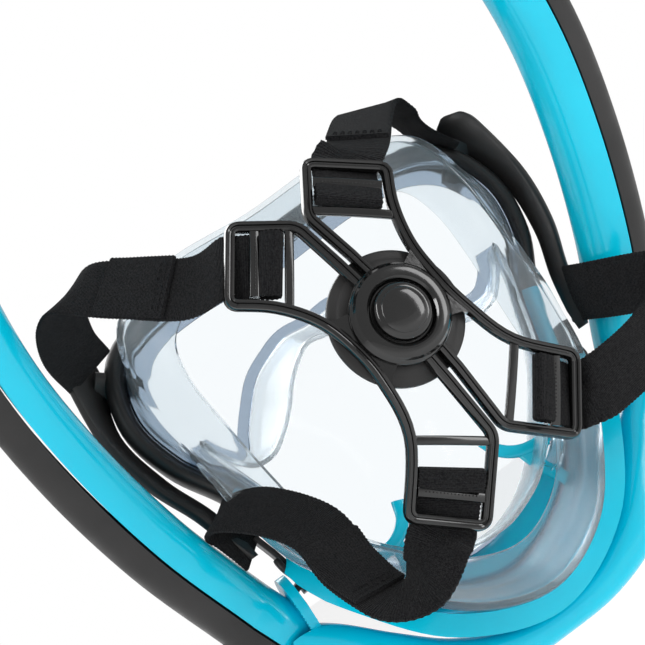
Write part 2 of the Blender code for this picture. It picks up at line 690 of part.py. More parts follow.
def make_strap(name, route, materials):
    steps = 3
    line = catmull([point for point, _ in route], steps)
    across = [direction.normalized() for direction in catmull([d for _, d in route], steps)]
    w, t = STRAP_WIDTH / 2, STRAP_THICKNESS / 2
    section = [(t, w), (-t, w), (-t, -w), (t, -w)]
    rings = sweep(line, lambda share: section, across)
    return add_object("strap_" + name, loft(rings, ends="ngon"), materials["webbing"])


def make_clips_and_buttons(materials):
    """The clip between each lower strap and the chin block, and the buttons that free the fold."""
    black = materials["black_satin"]
    for name, side in SIDES:
        line = mirrored([(75.5, 2, -38), (71.6, 3, -52), (70.4, 4, -66)], side)
        plate = [(1.2, 6), (-1.2, 6), (-1.2, -6), (1.2, -6)]
        clip = loft(sweep(line, lambda share: plate, (0, 1, 0)), ends="ngon")
        add_object("strap_clip_" + name, clip, black)
        rise = [(0, 0), (6, 0), (6, 2.2), (4.6, 3.4), (0, 3.6)]
        button = turned([(radius, BUTTON_START + height) for radius, height in rise], 24)
        placed(button, Vector((0, HINGE_Y, HINGE_Z)), Vector((side, 0, 0)))
        add_object("fold_button_" + name, button, black, (BUTTON_START * side, HINGE_Y, HINGE_Z))


# ---- assembly ------------------------------------------------------------------------------------
def build():
    for obj in list(bpy.data.objects):
        bpy.data.objects.remove(obj)
    materials = make_materials()
    make_lens(materials)
    make_lens_frame(materials)
    make_skirt(materials)
    make_inner_mask(materials)
    make_inner_valves(materials)
    make_chin_block(materials)
    make_hinge_pins(materials)
    make_purge_valve(materials)
    for name, side in SIDES:
        make_side_arm(name, side, materials)
        make_tube(name, side, materials)
        make_barrel(name, side, materials)
    make_crown(materials)
    make_harness(materials)
    make_clips_and_buttons(materials)
    for name, route in STRAPS.items():
        make_strap(name, route, materials)


build()
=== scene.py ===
"""Looks of the full-face snorkel mask: silicone, lens, breathing tubes, harness and webbing.

Sizes are in millimetres in the frame's own axes: X to the wearer's left, Y back, Z up.
"""

import math

import bmesh
import bpy
from mathutils import Euler, Matrix, Vector


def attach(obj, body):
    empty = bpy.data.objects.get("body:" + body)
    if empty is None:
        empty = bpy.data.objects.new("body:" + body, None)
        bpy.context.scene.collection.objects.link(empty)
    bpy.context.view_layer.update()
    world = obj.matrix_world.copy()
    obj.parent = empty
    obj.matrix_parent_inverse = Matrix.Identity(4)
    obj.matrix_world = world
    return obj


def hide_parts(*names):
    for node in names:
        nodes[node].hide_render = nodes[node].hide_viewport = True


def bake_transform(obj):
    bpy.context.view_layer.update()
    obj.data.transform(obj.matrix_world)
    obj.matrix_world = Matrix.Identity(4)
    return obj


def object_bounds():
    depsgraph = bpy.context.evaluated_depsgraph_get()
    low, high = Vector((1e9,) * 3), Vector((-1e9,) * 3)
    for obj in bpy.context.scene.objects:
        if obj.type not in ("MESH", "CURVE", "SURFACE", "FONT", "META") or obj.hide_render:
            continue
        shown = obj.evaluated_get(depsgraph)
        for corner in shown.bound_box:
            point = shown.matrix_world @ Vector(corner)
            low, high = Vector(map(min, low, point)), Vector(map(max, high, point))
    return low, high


MM = 0.001
SIDES = (("left", 1), ("right", -1))
BACKWARDS = (0, 1, 0)  # a sweep's reference: its section's second axis lies along Y

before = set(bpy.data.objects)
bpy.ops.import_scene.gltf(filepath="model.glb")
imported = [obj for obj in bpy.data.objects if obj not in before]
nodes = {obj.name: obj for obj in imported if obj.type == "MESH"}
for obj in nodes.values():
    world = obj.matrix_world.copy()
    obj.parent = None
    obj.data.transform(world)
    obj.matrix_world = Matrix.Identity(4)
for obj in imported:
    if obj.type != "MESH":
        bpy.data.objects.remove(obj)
cad_low, cad_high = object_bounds()

# ---- driving sizes -------------------------------------------------------------------------------
LENS_CENTRE_Z = -25
LENS_FRONT_Y = -56
LENS_BULGE = 2.2
LENS_THICKNESS = 2.5
BEZEL_SPLIT_Z = -16  # the bezel is black above this height and turquoise below
BEZEL_SECTION = [
    (-2.6, -3.2), (-2.2, -5.2), (-0.4, -7.6), (2.2, -8.6), (4.8, -8.0), (6.6, -6.0), (7.2, -3.0),
    (7.2, 1.5), (6.6, 4.2), (5.2, 6.2), (3.4, 6.9), (1.9, 6.4), (1.0, 5.0), (0.4, 3.4),
    (-0.6, 2.9), (-0.6, -0.3), (-0.4, -2.8), (-1.6, -3.0),
]
CHIN_PANEL_TOP_Z = -44
PANEL_STEPS = (0.03, 0.25, 0.5, 0.75, 0.97)
PANEL_GAPS = (0.9, 2.7)
CHIN_CUP_TOP_Z = -46
CHIN_CUP_CENTRE_Z = -35
NOSE_GAP = 2.0
NOSE_WALL = 1.5
# Shares of the way from the inner mask's foot to its free edge, with how thick its wall is there.
NOSE_ROWS = [
    (0.0, 0.9), (0.12, 0.9), (0.3, 1.0), (0.5, 1.0), (0.7, 1.0), (0.86, 1.15), (0.95, 1.5), (1.0, 1.2),
]
GASKET_WIDTH = 5.0
GASKET_BROW_WIDTH = 5.5  # added along the brow
# Shares of the gasket's width, with the distance behind the lens's edge.
GASKET_SECTION = [
    (0.0, 3.0), (0.35, 3.4), (0.7, 4.2), (1.0, 5.6), (1.05, 6.6), (0.95, 7.0), (0.6, 6.2), (0.3, 5.0),
    (0.0, 4.6),
]
NOSE_GASKET_SECTION = [
    (1.2, 0.2), (4.6, -0.6), (5.6, 0.2), (5.4, 1.6), (3.4, 2.8), (1.3, 5.6), (0.8, 5.6), (0.8, 1.0),
]
LENS_EDGE = [
    (0, -26, 60), (45, -23, 60), (76, -13, 51), (87, -6, 28), (83, 0, 4),
    (71, 2, -18), (64, 1, -42), (57, 0, -66), (40, 0, -91), (0, 0, -109),
]
FACE_RIM = [
    (0, -12, 73), (40, -7, 73), (70, 0, 62), (79, 5, 38), (78, 11, 6),
    (75, 16, -28), (68, 23, -56), (50, 38, -82), (28, 46, -105), (0, 48, -115),
]
SEAL_LIP = [
    (0, -17, 54), (36, -12, 55), (55, -3, 46), (61, 2, 28), (60, 7, 4),
    (57, 11, -26), (54, 17, -48), (40, 31, -70), (22, 41, -88), (0, 44, -96),
]
# The inner mask's free edge: over the nose, down under each eye, out to the skirt and round the chin.
NOSE_EDGE = [
    (0, -8, 13), (11, -9, 15), (19, -10, 11), (26, -11, 5), (33, -11, -3), (41, -9, -10), (50, -5, -15),
    (60, 1, -14), (68, 5, -5), (72, 7, 4), (70, 10, -6), (65, 13, -21), (57, 17, -42), (47, 21, -58),
    (37, 24, -71), (24, 26, -82), (9, 27, -88), (0, 27, -89),
]
NOSE_BASE = [
    (0, 24), (12, 25), (22, 22), (32, 17), (41, 8), (48, 0), (54, -8),
    (62, -10), (69, -4), (73, 3), (71, -8), (65, -23), (57, -44), (47, -61),
    (37, -74), (24, -84), (9, -90), (0, -91),
]
SECTION_POWER = 2.6  # of the tubes' superellipse
TUBE_HALF_WIDTH = 14.0
TUBE_HALF_DEPTH = 13.0
TUBE_WALL = 2.2
TUBE_SEAM_U = 1.3
TUBE_SEAM_GAP = 0.3
COVER_INSET = 0.35
TUBE_ROUTE = [
    (91.0, 4, -70), (97, 6, -55), (110, 20.5, -20), (119.5, 37.5, 20), (123.5, 55, 60),
    (119.5, 72, 100), (107, 88.5, 140), (86, 103, 176), (60, 113.5, 200), (33, 118.2, 210.5),
]
HINGE_Y = 4.0
HINGE_Z = -70.0
KNUCKLE_RADIUS = 14.4
KNUCKLE_FACE_X = 78.5
CHEEK_X = (74.7, 78.8)
PAST_SIDE_X = 125  # clear of the widest piece, for cutters
CHIN_ROUTE = [(0, 21, -129), (22, 21, -127), (43, 20, -119), (61, 15, -106), (76, 8, -93), (88, 4.5, -86)]
CHIN_HALF_WIDTHS = [6.5, 7.5, 9.5, 11.5, 13.0, 14.5]
BUTTON_WELL_RADIUS = 6.5
BUTTON_WELL_FLOOR = 104.9
LOOP_LEAN = math.radians(22)
CROWN_CENTRE = (0, 119, 212)
CROWN_HALF_LENGTH = 31
CAGE_TOP = 85
CAP_RADIUS = 20.9
TURN_SIDES = 72
SIDE_ARM = [
    (62, (96, -6), (89, -11)), (58, (99.5, -3), (88, -13)), (50, (101.5, -1), (88.5, -15)),
    (25, (102.5, 3.5), (96.5, -7.5)), (0, (98, 9), (92, 1.5)), (-21, (89.5, 12.5), (84, 6)),
    (-44, (83, 13), (79, 8)),
]

HARNESS_CENTRE = (2.9, 105.5, -7.3)
HARNESS_TURN = Euler((0.0, math.radians(8.6), math.radians(6.9)))
HARNESS_CROWNING = 12.0
HARNESS_REACH = 62.0
HARNESS_SIDE = [
    (3.0, 13), (3.0, 26), (2.9, 46), (18.4, 61.5), (38.4, 41.5), (28.5, 30), (22.0, 17), (19.8, 4),
    (20.2, -12), (25.5, -32), (42.6, -51.5), (23.6, -71.6), (2.6, -51), (3.0, -26), (3.0, -13),
]
UPPER_CORNERS = (2, 3, 4)  # the outline's rounded points, before and after its long concave rail
LOWER_CORNERS = (10, 11, 12)
HUB_PROFILE = [
    (0, -2.2), (17.4, -2.2), (17.9, -1.6), (18.0, 0.6), (17.7, 1.5), (17.2, 1.9), (16.8, 2.6), (16.2, 3.6),
    (15.0, 4.1), (12.4, 4.1), (11.6, 3.5), (11.3, 2.4), (10.8, 2.0), (0, 2.0),
]
HUB_SHOULDER = [
    (11, 11), (17.5, 13), (21.5, 15), (20.0, 4), (20.3, -12), (21.8, -18), (17, -13.5), (11, -11),
]
PAD_PROFILE = [
    (0, -7.4), (22.9, -7.4), (24.0, -6.8), (24.4, -5.9), (24.2, -4.8), (23.2, -4.2), (21.5, -4.3),
    (20.8, -3.8), (18.5, -3.2), (0, -2.6),
]
INNER_BARS = {"upper": ((5.6, 46.8), (25.6, 26.6)), "lower": ((5.2, -51.4), (26.4, -32.8))}
KEEPERS = {"upper": ((14.2, 54.4), (31.0, 37.4)), "lower": ((35.2, -46.8), (18.6, -64.0))}

# Each strap loop's middle, and the direction from there out over its outer bar.
LOOP_PLACES = {"upper": ((28.4, 51.5), (0.707, 0.707)), "lower": ((33.1, -61.5), (0.69, -0.724))}
# A strap's turn round its bar: distances past the loop's middle, with lifts off the frame.
LOOP_WRAP = [
    (2, -4.0), (-2, -3.4), (-7, -2.5), (-11, -2.3), (-14, -2.9),
    (-16.6, -1.4), (-15.8, 1.6), (-13.8, 1.9), (-11.4, 1.5), (-9.8, 0.6),
]

STRAP_WIDTH = 23.0
STRAP_THICKNESS = 1.7
STRAP_STEPS = 8
TAIL_LIFT = 2.0
STITCH_ROWS = (2.0, 4.5)
STITCH_HALF_WIDTH = 9.5
STITCHES = 7
# Each strap's stations from its anchor to its loop, with the direction of its width there.
STRAP_RUNS = {
    "upper_left": [
        ((91, -3, 53), (0.9, 0.5, 0)), ((94, 18, 62), (0.8, 0.5, 0.1)),
        ((91, 41, 70), (0.8, 0.4, -0.1)), ((83, 53, 71), (0.9, 0.2, -0.4)),
        ((69, 65, 59), (0.9, 0, -0.5)), ((53, 81, 44), (0.7, 0, -0.7)),
    ],
    "upper_right": [
        ((-87, -9, 48), (0, 1, 0)), ((-80, -8, 60), (0, 1, 0)),
        ((-75, -4, 72), (-0.1, 1, 0)), ((-65, 6, 78), (-0.7, 0.7, -0.3)),
        ((-50, 34, 71), (-0.9, 0.2, -0.4)), ((-27, 80, 54), (-0.8, 0.1, -0.5)),
    ],
    "lower_left": [
        ((78, 7, -41), (0.7, 0.6, -0.3)), ((84, 15, -24), (0.6, 0.7, -0.3)),
        ((72, 29, -30), (0.6, 0.6, -0.5)), ((60, 46, -48), (0.7, 0.5, -0.4)),
        ((60, 62, -68), (0.8, 0.5, -0.2)), ((56, 76, -83), (0.4, 0.8, -0.4)),
        ((45, 84, -85), (-0.2, 0.7, -0.7)), ((34, 88, -77), (-0.7, 0.4, -0.6)),
    ],
    "lower_right": [
        ((-84, 10, -30), (0.3, 0, -0.9)), ((-88, 25, -35), (0.1, 0, -1)),
        ((-106, 54, -50), (0.5, 0.1, -0.9)), ((-96, 67, -57), (0.5, 0, -0.9)),
        ((-70, 78, -64), (0.6, 0, -0.8)), ((-47, 83, -66), (0.7, 0, -0.7)),
    ],
}
# A strap's folded, sewn end lies on its own band, between these shares of the band's run.
STRAP_TAILS = {"upper_left": (0.96, 0.72), "upper_right": (0.98, 0.76), "lower_left": (0.67, 0.48)}

SKY_LIGHT = 0.62  # how bright the white surround is as a light, against how it looks
CAMERA_PLACE = (136.81, 615.72, -55.59)
CAMERA_FORWARD = (-0.21023, -0.97085, 0.11513)
CAMERA_UP = (-0.54583, 0.21426, 0.81004)
CAMERA_LENS = 88.07


# ---- camera and stage ----------------------------------------------------------------------------


def make_camera():
    """The camera looks forwards from behind the mask, a little to its left and below, with a large roll."""
    forward = Vector(CAMERA_FORWARD).normalized()
    up = Vector(CAMERA_UP)
    right = forward.cross(up).normalized()
    up = right.cross(forward)
    camera = bpy.data.cameras.new("camera")
    camera.lens = CAMERA_LENS
    camera.sensor_width = 36
    camera.clip_start = 0.01
    obj = bpy.data.objects.new("camera", camera)
    turn = Matrix((right, up, -forward)).transposed().to_4x4()
    obj.matrix_world = Matrix.Translation(Vector(CAMERA_PLACE) * MM) @ turn
    bpy.context.scene.collection.objects.link(obj)
    bpy.context.scene.camera = obj


def area_light(name, place, target, size, power):
    light = bpy.data.lights.new(name, "AREA")
    light.shape = "RECTANGLE"
    light.size, light.size_y = size
    light.energy = power
    obj = bpy.data.objects.new(name, light)
    aim = (Vector(target) - Vector(place)).to_track_quat("-Z", "Y").to_matrix().to_4x4()
    obj.matrix_world = Matrix.Translation(place) @ aim
    bpy.context.scene.collection.objects.link(obj)


def make_stage():
    world = bpy.data.worlds.new("studio")
    world.use_nodes = True
    sky = world.node_tree.nodes["Background"]
    sky.inputs["Color"].default_value = (1, 1, 1, 1)
    rays = world.node_tree.nodes.new("ShaderNodeLightPath")
    seen = world.node_tree.nodes.new("ShaderNodeMath")
    seen.operation = "MAXIMUM"
    level = world.node_tree.nodes.new("ShaderNodeMapRange")
    level.inputs["To Min"].default_value = SKY_LIGHT
    level.inputs["To Max"].default_value = 1.0
    connect = world.node_tree.links.new
    connect(rays.outputs["Is Camera Ray"], seen.inputs[0])
    connect(rays.outputs["Is Transmission Ray"], seen.inputs[1])
    connect(seen.outputs[0], level.inputs["Value"])
    connect(level.outputs[0], sky.inputs["Strength"])
    bpy.context.scene.world = world
    bpy.context.scene.view_settings.view_transform = "Standard"
    area_light("key", (0.75, 1.0, 0.9), (0, 0.05, 0), (0.25, 1.0), 9)
    area_light("fill", (-0.9, 0.9, 0.1), (0, 0.05, 0), (0.3, 0.9), 5)
    area_light("rim", (0.2, -0.9, 0.8), (0, 0, 0), (0.8, 0.5), 5)
    bm = bmesh.new()
    bmesh.ops.create_grid(bm, x_segments=1, y_segments=1, size=6000)
    bmesh.ops.translate(bm, verts=bm.verts, vec=(0, 0, cad_low.z / MM - 90))
    white = principled("floor", (0.93, 0.93, 0.93), 0.8, Emission_Color=(1, 1, 1, 1), Emission_Strength=0.3)
    floor = plain_object("floor", bm, white)


# ---- materials -----------------------------------------------------------------------------------
def principled(name, colour, roughness, **sockets):
    material = bpy.data.materials.new(name)
    material.use_nodes = True
    shader = material.node_tree.nodes["Principled BSDF"]
    shader.inputs["Base Color"].default_value = (*colour, 1)
    shader.inputs["Roughness"].default_value = roughness
    for socket, value in sockets.items():
        shader.inputs[socket.replace("_", " ")].default_value = value
    return material


def add_node(material, kind, **values):
    node = material.node_tree.nodes.new(kind)
    for key, value in values.items():
        if hasattr(node, key):
            setattr(node, key, value)
        else:
            node.inputs[key.replace("_", " ")].default_value = value
    return node


def link(material, source, target):
    material.node_tree.links.new(source, target)


def noise(material, scale, detail=3.0):
    place = add_node(material, "ShaderNodeTexCoord")
    texture = add_node(material, "ShaderNodeTexNoise", Scale=scale, Detail=detail)
    link(material, place.outputs["Object"], texture.inputs["Vector"])
    return texture


def vary(material, texture, low, high, socket):
    """Spreads a texture's value between low and high on a shader socket."""
    spread = add_node(material, "ShaderNodeMapRange", From_Min=0.3, From_Max=0.7, To_Min=low, To_Max=high)
    shader = material.node_tree.nodes["Principled BSDF"]
    link(material, texture.outputs[0], spread.inputs["Value"])
    link(material, spread.outputs[0], shader.inputs[socket])


def tint(material, texture, first, second):
    ramp = add_node(material, "ShaderNodeValToRGB")
    ramp.color_ramp.elements[0].position, ramp.color_ramp.elements[1].position = 0.35, 0.65
    ramp.color_ramp.elements[0].color = (*first, 1)
    ramp.color_ramp.elements[1].color = (*second, 1)
    link(material, texture.outputs[0], ramp.inputs["Fac"])
    link(material, ramp.outputs[0], material.node_tree.nodes["Principled BSDF"].inputs["Base Color"])


def bump(material, texture, strength, distance):
    node = add_node(material, "ShaderNodeBump", Strength=strength, Distance=distance)
    link(material, texture.outputs[0], node.inputs["Height"])
    link(material, node.outputs[0], material.node_tree.nodes["Principled BSDF"].inputs["Normal"])


def make_teal():
    """Glossy moulded turquoise, with slight clouding and the faint ripple of a moulded surface."""
    material = principled("teal_gloss", (0.0, 0.50, 0.68), 0.2, Specular_IOR_Level=0.3, Coat_Weight=0.3)
    material.node_tree.nodes["Principled BSDF"].inputs["Coat Roughness"].default_value = 0.06
    tint(material, noise(material, 14), (0.0, 0.455, 0.635), (0.0, 0.53, 0.72))
    vary(material, noise(material, 60), 0.15, 0.25, "Roughness")
    bump(material, noise(material, 900, 1.0), 0.03, 0.0002)
    return material


def make_satin():
    """Spark-eroded black plastic: a fine even grain."""
    material = principled("black_satin", (0.016, 0.015, 0.015), 0.42, Specular_IOR_Level=0.35)
    tint(material, noise(material, 25), (0.011, 0.011, 0.011), (0.020, 0.019, 0.019))
    vary(material, noise(material, 120), 0.34, 0.5, "Roughness")
    bump(material, noise(material, 2600, 2.0), 0.25, 0.0003)
    return material


def make_gloss():
    """Polished black plastic."""
    colour = (0.004, 0.004, 0.004)
    material = principled("black_gloss", colour, 0.12, Specular_IOR_Level=0.4, Coat_Weight=0.4)
    material.node_tree.nodes["Principled BSDF"].inputs["Coat Roughness"].default_value = 0.04
    tint(material, noise(material, 30), (0.003, 0.003, 0.003), (0.006, 0.006, 0.006))
    vary(material, noise(material, 90), 0.08, 0.18, "Roughness")
    bump(material, noise(material, 350, 2.0), 0.12, 0.0003)
    return material


def make_webbing():
    """Black elastic webbing: fine ribs across the band, with a felted nap."""
    colour = (0.010, 0.010, 0.011)
    material = principled("webbing", colour, 0.95, Specular_IOR_Level=0.12, Sheen_Weight=0.03)
    tint(material, noise(material, 1700, 4.0), (0.003, 0.003, 0.004), (0.020, 0.020, 0.021))
    place = add_node(material, "ShaderNodeUVMap")
    ribs = add_node(material, "ShaderNodeTexWave", Scale=0.55, Distortion=1.2, Detail=2.0, Detail_Scale=3.0)
    ribs.bands_direction = "Y"
    link(material, place.outputs[0], ribs.inputs["Vector"])
    mix = add_node(material, "ShaderNodeMath", operation="ADD")
    link(material, ribs.outputs["Fac"], mix.inputs[0])
    link(material, noise(material, 2400, 4.0).outputs[0], mix.inputs[1])
    bump(material, mix, 0.7, 0.0008)
    return material


def make_clear(name, colour, roughness, ior, clearness=1.0):
    material = principled(name, colour, roughness, IOR=ior, Transmission_Weight=clearness)
    vary(material, noise(material, 22), roughness * 0.6, roughness * 1.5, "Roughness")
    bump(material, noise(material, 30, 2.0), 0.12, 0.002)
    return material


# ---- mesh helpers --------------------------------------------------------------------------------
def plain_object(name, bm, material, smooth=40):
    bmesh.ops.recalc_face_normals(bm, faces=bm.faces)
    bmesh.ops.scale(bm, verts=bm.verts, vec=(MM, MM, MM))
    mesh = bpy.data.meshes.new(name)
    bm.to_mesh(mesh)
    bm.free()
    mesh.shade_smooth()
    mesh.set_sharp_from_angle(angle=math.radians(smooth))
    obj = bpy.data.objects.new(name, mesh)
    obj.data.materials.append(material)
    bpy.context.scene.collection.objects.link(obj)
    return obj


def soften(obj, width, segments=3, angle=35):
    soft = obj.modifiers.new("soft edges", "BEVEL")
    soft.width = width * MM
    soft.segments = segments
    soft.limit_method = "ANGLE"
    soft.angle_limit = math.radians(angle)


def piece(name, bm, slot, body="mask", replaces=(), smooth=40, bevel=0.0):
    """A piece of the object: it has its slot's material, rides on its body and stands for CAD nodes."""
    obj = plain_object(name, bm, LOOKS[slot], smooth)
    if bevel:
        soften(obj, bevel)
    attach(obj, body)
    if replaces:
        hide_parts(*replaces)
    return obj


def catmull(points, steps, closed=False):
    """A smooth line through the points, open or closed."""
    points = [Vector(p) for p in points]
    count = len(points)
    line = []
    for i in range(count if closed else count - 1):
        if closed:
            a, b, c, d = (points[(i + k) % count] for k in (-1, 0, 1, 2))
        else:
            b, c = points[i], points[i + 1]
            a = points[i - 1] if i else b * 2 - c
            d = points[i + 2] if i + 2 < count else c * 2 - b
        for k in range(steps):
            t = k / steps
            bend = (2 * a - 5 * b + 4 * c - d) * t**2
            line.append(0.5 * (2 * b + (c - a) * t + bend + (3 * b - a - 3 * c + d) * t**3))
    if not closed:
        line.append(points[-1])
    return line


def ring_of(half, steps=8):
    """A closed ring from one half of a symmetrical outline."""
    right = [(-p[0], *p[1:]) for p in reversed(half[1:-1])]
    return catmull(list(half) + right, steps, closed=True)


def offset_ring(ring, outwards, back=0.0):
    count = len(ring)
    moved = []
    for i, point in enumerate(ring):
        along = ring[(i + 1) % count] - ring[i - 1]
        moved.append(point + Vector((-along.z, 0, along.x)).normalized() * outwards + Vector((0, back, 0)))
    return moved


def loft(rings, around=False):
    """A closed mesh through rings: capped at both ends, or joined round to its start."""
    bm = bmesh.new()
    rows = [[bm.verts.new(p) for p in ring] for ring in rings]
    count = len(rows[0])
    for k in range(len(rows) if around else len(rows) - 1):
        low, high = rows[k], rows[(k + 1) % len(rows)]
        for i in range(count):
            j = (i + 1) % count
            bm.faces.new((low[i], low[j], high[j], high[i]))
    if not around:
        bm.faces.new(rows[0])
        bm.faces.new(rows[-1])
    return bm


def tangents_of(line):
    last = len(line) - 1
    return [(line[min(i + 1, last)] - line[max(i - 1, 0)]).normalized() for i in range(last + 1)]


def sweep(line, section_at, reference):
    """Rings along a line, each the section for its share of the way."""
    rings = []
    for i, (point, along) in enumerate(zip(line, tangents_of(line))):
        lean = reference[i] if isinstance(reference, list) else Vector(reference)
        v = (lean - along * lean.dot(along)).normalized()
        u = v.cross(along).normalized()
        rings.append([point + u * a + v * b for a, b in section_at(i / (len(line) - 1))])
    return rings


def superellipse(half_width, half_depth, start, end, count, power=SECTION_POWER):
    points = []
    for k in range(count):
        angle = math.radians(start + (end - start) * k / (count - 1))
        c, s = math.cos(angle), math.sin(angle)
        points.append((
            half_width * math.copysign(abs(c) ** (2 / power), c),
            half_depth * math.copysign(abs(s) ** (2 / power), s),
        ))
    return points


def add_to(whole, part):
    """Adds one closed mesh to another, and frees it."""
    mesh = bpy.data.meshes.new("part")
    part.to_mesh(mesh)
    part.free()
    whole.from_mesh(mesh)
    bpy.data.meshes.remove(mesh)


def join(*parts):
    """One mesh from several closed ones."""
    whole = bmesh.new()
    for part in parts:
        add_to(whole, part)
    return whole


def turned(profile, sides=64):
    """A closed solid turned about Z from its profile of (radius, height)."""
    bm = bmesh.new()
    columns = []
    for k in range(sides):
        c, s = math.cos(2 * math.pi * k / sides), math.sin(2 * math.pi * k / sides)
        columns.append([None if r < 1e-6 else bm.verts.new((r * c, r * s, z)) for r, z in profile])
    poles = {i: bm.verts.new((0, 0, z)) for i, (r, z) in enumerate(profile) if r < 1e-6}
    count = len(profile)
    for k in range(sides):
        near, far = columns[k], columns[(k + 1) % sides]
        for i in range(count):
            j = (i + 1) % count
            ends = [(near[i], far[i]), (far[j], near[j])]
            corners = []
            for index, pair in zip((i, j), ends):
                corners += [poles[index]] if index in poles else list(pair)
            if len(corners) > 2:
                bm.faces.new(corners)
    return bm


def placed(bm, place, direction):
    """Moves a mesh to a place, with its Z axis in a direction."""
    turn = Vector((0, 0, 1)).rotation_difference(Vector(direction)).to_matrix().to_4x4()
    bmesh.ops.transform(bm, verts=bm.verts, matrix=Matrix.Translation(place) @ turn)
    return bm


def cut(obj, bm, operation="DIFFERENCE"):
    """An exact Boolean, applied at once."""
    tool = plain_object("tool", bm, obj.data.materials[0])
    modifier = obj.modifiers.new("cut", "BOOLEAN")
    modifier.operation, modifier.object, modifier.solver = operation, tool, "EXACT"
    bpy.context.view_layer.update()
    result = bpy.data.meshes.new_from_object(obj.evaluated_get(bpy.context.evaluated_depsgraph_get()))
    obj.modifiers.clear()
    obj.data = result
    bpy.data.objects.remove(tool)
    result.shade_smooth()
    result.set_sharp_from_angle(angle=math.radians(35))


def mirrored(points, side):
    return [Vector((p[0] * side, p[1], p[2])) for p in points]


# ---- lens, frame, skirt and inner mask -----------------------------------------------------------
def behind_lens(x, z, gap):
    """The place at x and z that lies a gap behind the lens's inner face."""
    edge = ring_of(LENS_EDGE)
    angle = math.atan2(x, z - LENS_CENTRE_Z)

    def turn_from(point):
        return abs(math.remainder(math.atan2(point.x, point.z - LENS_CENTRE_Z) - angle, 2 * math.pi))

    rim = min(edge, key=turn_from)
    share = min(1.0, math.hypot(x, z - LENS_CENTRE_Z) / math.hypot(rim.x, rim.z - LENS_CENTRE_Z))
    return (x, LENS_FRONT_Y + (rim.y - LENS_FRONT_Y) * share**LENS_BULGE + LENS_THICKNESS + gap, z)


def lens_rings(edge, back):
    rings = []
    for k in range(15):
        share = math.cos(math.pi / 2 * k / 15.5)
        rings.append([
            Vector((p.x * share, LENS_FRONT_Y + (p.y - LENS_FRONT_Y) * share**LENS_BULGE + back,
                    LENS_CENTRE_Z + (p.z - LENS_CENTRE_Z) * share))
            for p in edge
        ])
    return rings


def make_lens():
    edge = ring_of(LENS_EDGE)
    front = list(reversed(lens_rings(edge, 0)))
    back = lens_rings(offset_ring(edge, -0.3), LENS_THICKNESS)
    piece("lens_shell", loft(front + [offset_ring(edge, 0.1, 1.2)] + back), "lens_clear", replaces=["lens"])


def make_lens_frame():
    """A deep bezel round the lens with a rolled edge: black over the brow and sides, turquoise below."""
    edge = ring_of(LENS_EDGE)
    rings = [offset_ring(edge, out, back) for out, back in BEZEL_SECTION]
    stations = [[ring[i] for ring in rings] for i in range(len(edge))]
    low = [i for i, p in enumerate(edge) if p.z < BEZEL_SPLIT_Z]
    start, end = first_and_last(low, len(edge))
    chin = [stations[(start + k) % len(edge)] for k in range((end - start) % len(edge) + 1)]
    brow = [stations[(end + k) % len(edge)] for k in range((start - end) % len(edge) + 1)]
    piece("lens_bezel", loft(brow), "black_satin", replaces=["lens_frame"], smooth=50)
    piece("chin_bezel", loft(chin), "teal_gloss", smooth=50)


def first_and_last(chosen, count):
    """The two ends of one run of places on a closed ring."""
    picked = set(chosen)
    start = next(i for i in chosen if (i - 1) % count not in picked)
    end = next(i for i in chosen if (i + 1) % count not in picked)
    return start, end


def skirt_ridge(share, places, width):
    """How far the skirt's ridges at these places swell its wall at a share of the way."""
    return sum(math.exp(-((share - place) / width) ** 2) for place in places)


def skirt_half_wall(share):
    bead = 0.75 * skirt_ridge(share, (0.5,), 0.05)
    half = 0.9 + bead + 0.35 * skirt_ridge(share, (0.27, 0.68, 1.0), 0.03)
    return half - 0.35 * max(0.0, share - 0.7)


def make_skirt():
    """The silicone skirt: a wall from the lens frame to the face rim, then a thin lip turned inwards."""
    foot = offset_ring(ring_of(LENS_EDGE), -2.4, 3.4)
    neck = offset_ring(ring_of(LENS_EDGE), -3.4, 7.2)
    rim, lip = ring_of(FACE_RIM), ring_of(SEAL_LIP)
    middle_lines = []
    for a, n, b, c in zip(foot, neck, rim, lip):
        waist = n.lerp(b, 0.5) + Vector((0, 1, 0))
        roll = b.lerp(c, 0.22) + Vector((0, 2.2, 0))
        fall = b.lerp(c, 0.62) + Vector((0, 0.8, 0))
        middle_lines.append(catmull([a, n, waist, b, roll, fall, c], 5))
    count = len(middle_lines[0])
    rings_out, rings_in = [], []
    for k in range(count):
        half = skirt_half_wall(k / (count - 1))
        out_ring, in_ring = [], []
        for i, line in enumerate(middle_lines):
            along = (line[min(k + 1, count - 1)] - line[max(k - 1, 0)]).normalized()
            around = (middle_lines[(i + 1) % len(middle_lines)][k] - middle_lines[i - 1][k]).normalized()
            normal = along.cross(around).normalized()
            out_ring.append(line[k] + normal * half)
            in_ring.append(line[k] - normal * half)
        rings_out.append(out_ring)
        rings_in.append(in_ring)
    bm = loft(rings_out + list(reversed(rings_in)), around=True)
    piece("silicone_skirt", bm, "silicone_clear", replaces=["skirt"], smooth=60)


def make_inner_mask():
    """The soft wall between the eye space and the nose and mouth pocket."""
    edge = ring_of(NOSE_EDGE, 5)
    base = ring_of([behind_lens(x, z, NOSE_GAP) for x, z in NOSE_BASE], 5)
    middle = Vector((0, 0, -35))
    outer, inner = [], []
    for share, thickness in NOSE_ROWS:
        sag = 3.2 * math.sin(math.pi * share)
        row = []
        for a, b in zip(base, edge):
            straight = a.lerp(b, share)
            row.append(straight - (straight - middle).normalized() * sag * 0.4)
        outer.append(offset_ring(row, NOSE_WALL * thickness / 2))
        inner.append(offset_ring(row, -NOSE_WALL * thickness / 2))
    bm = loft(outer + list(reversed(inner)), around=True)
    piece("nose_pocket", bm, "silicone_clear", replaces=["inner_mask"], smooth=60)


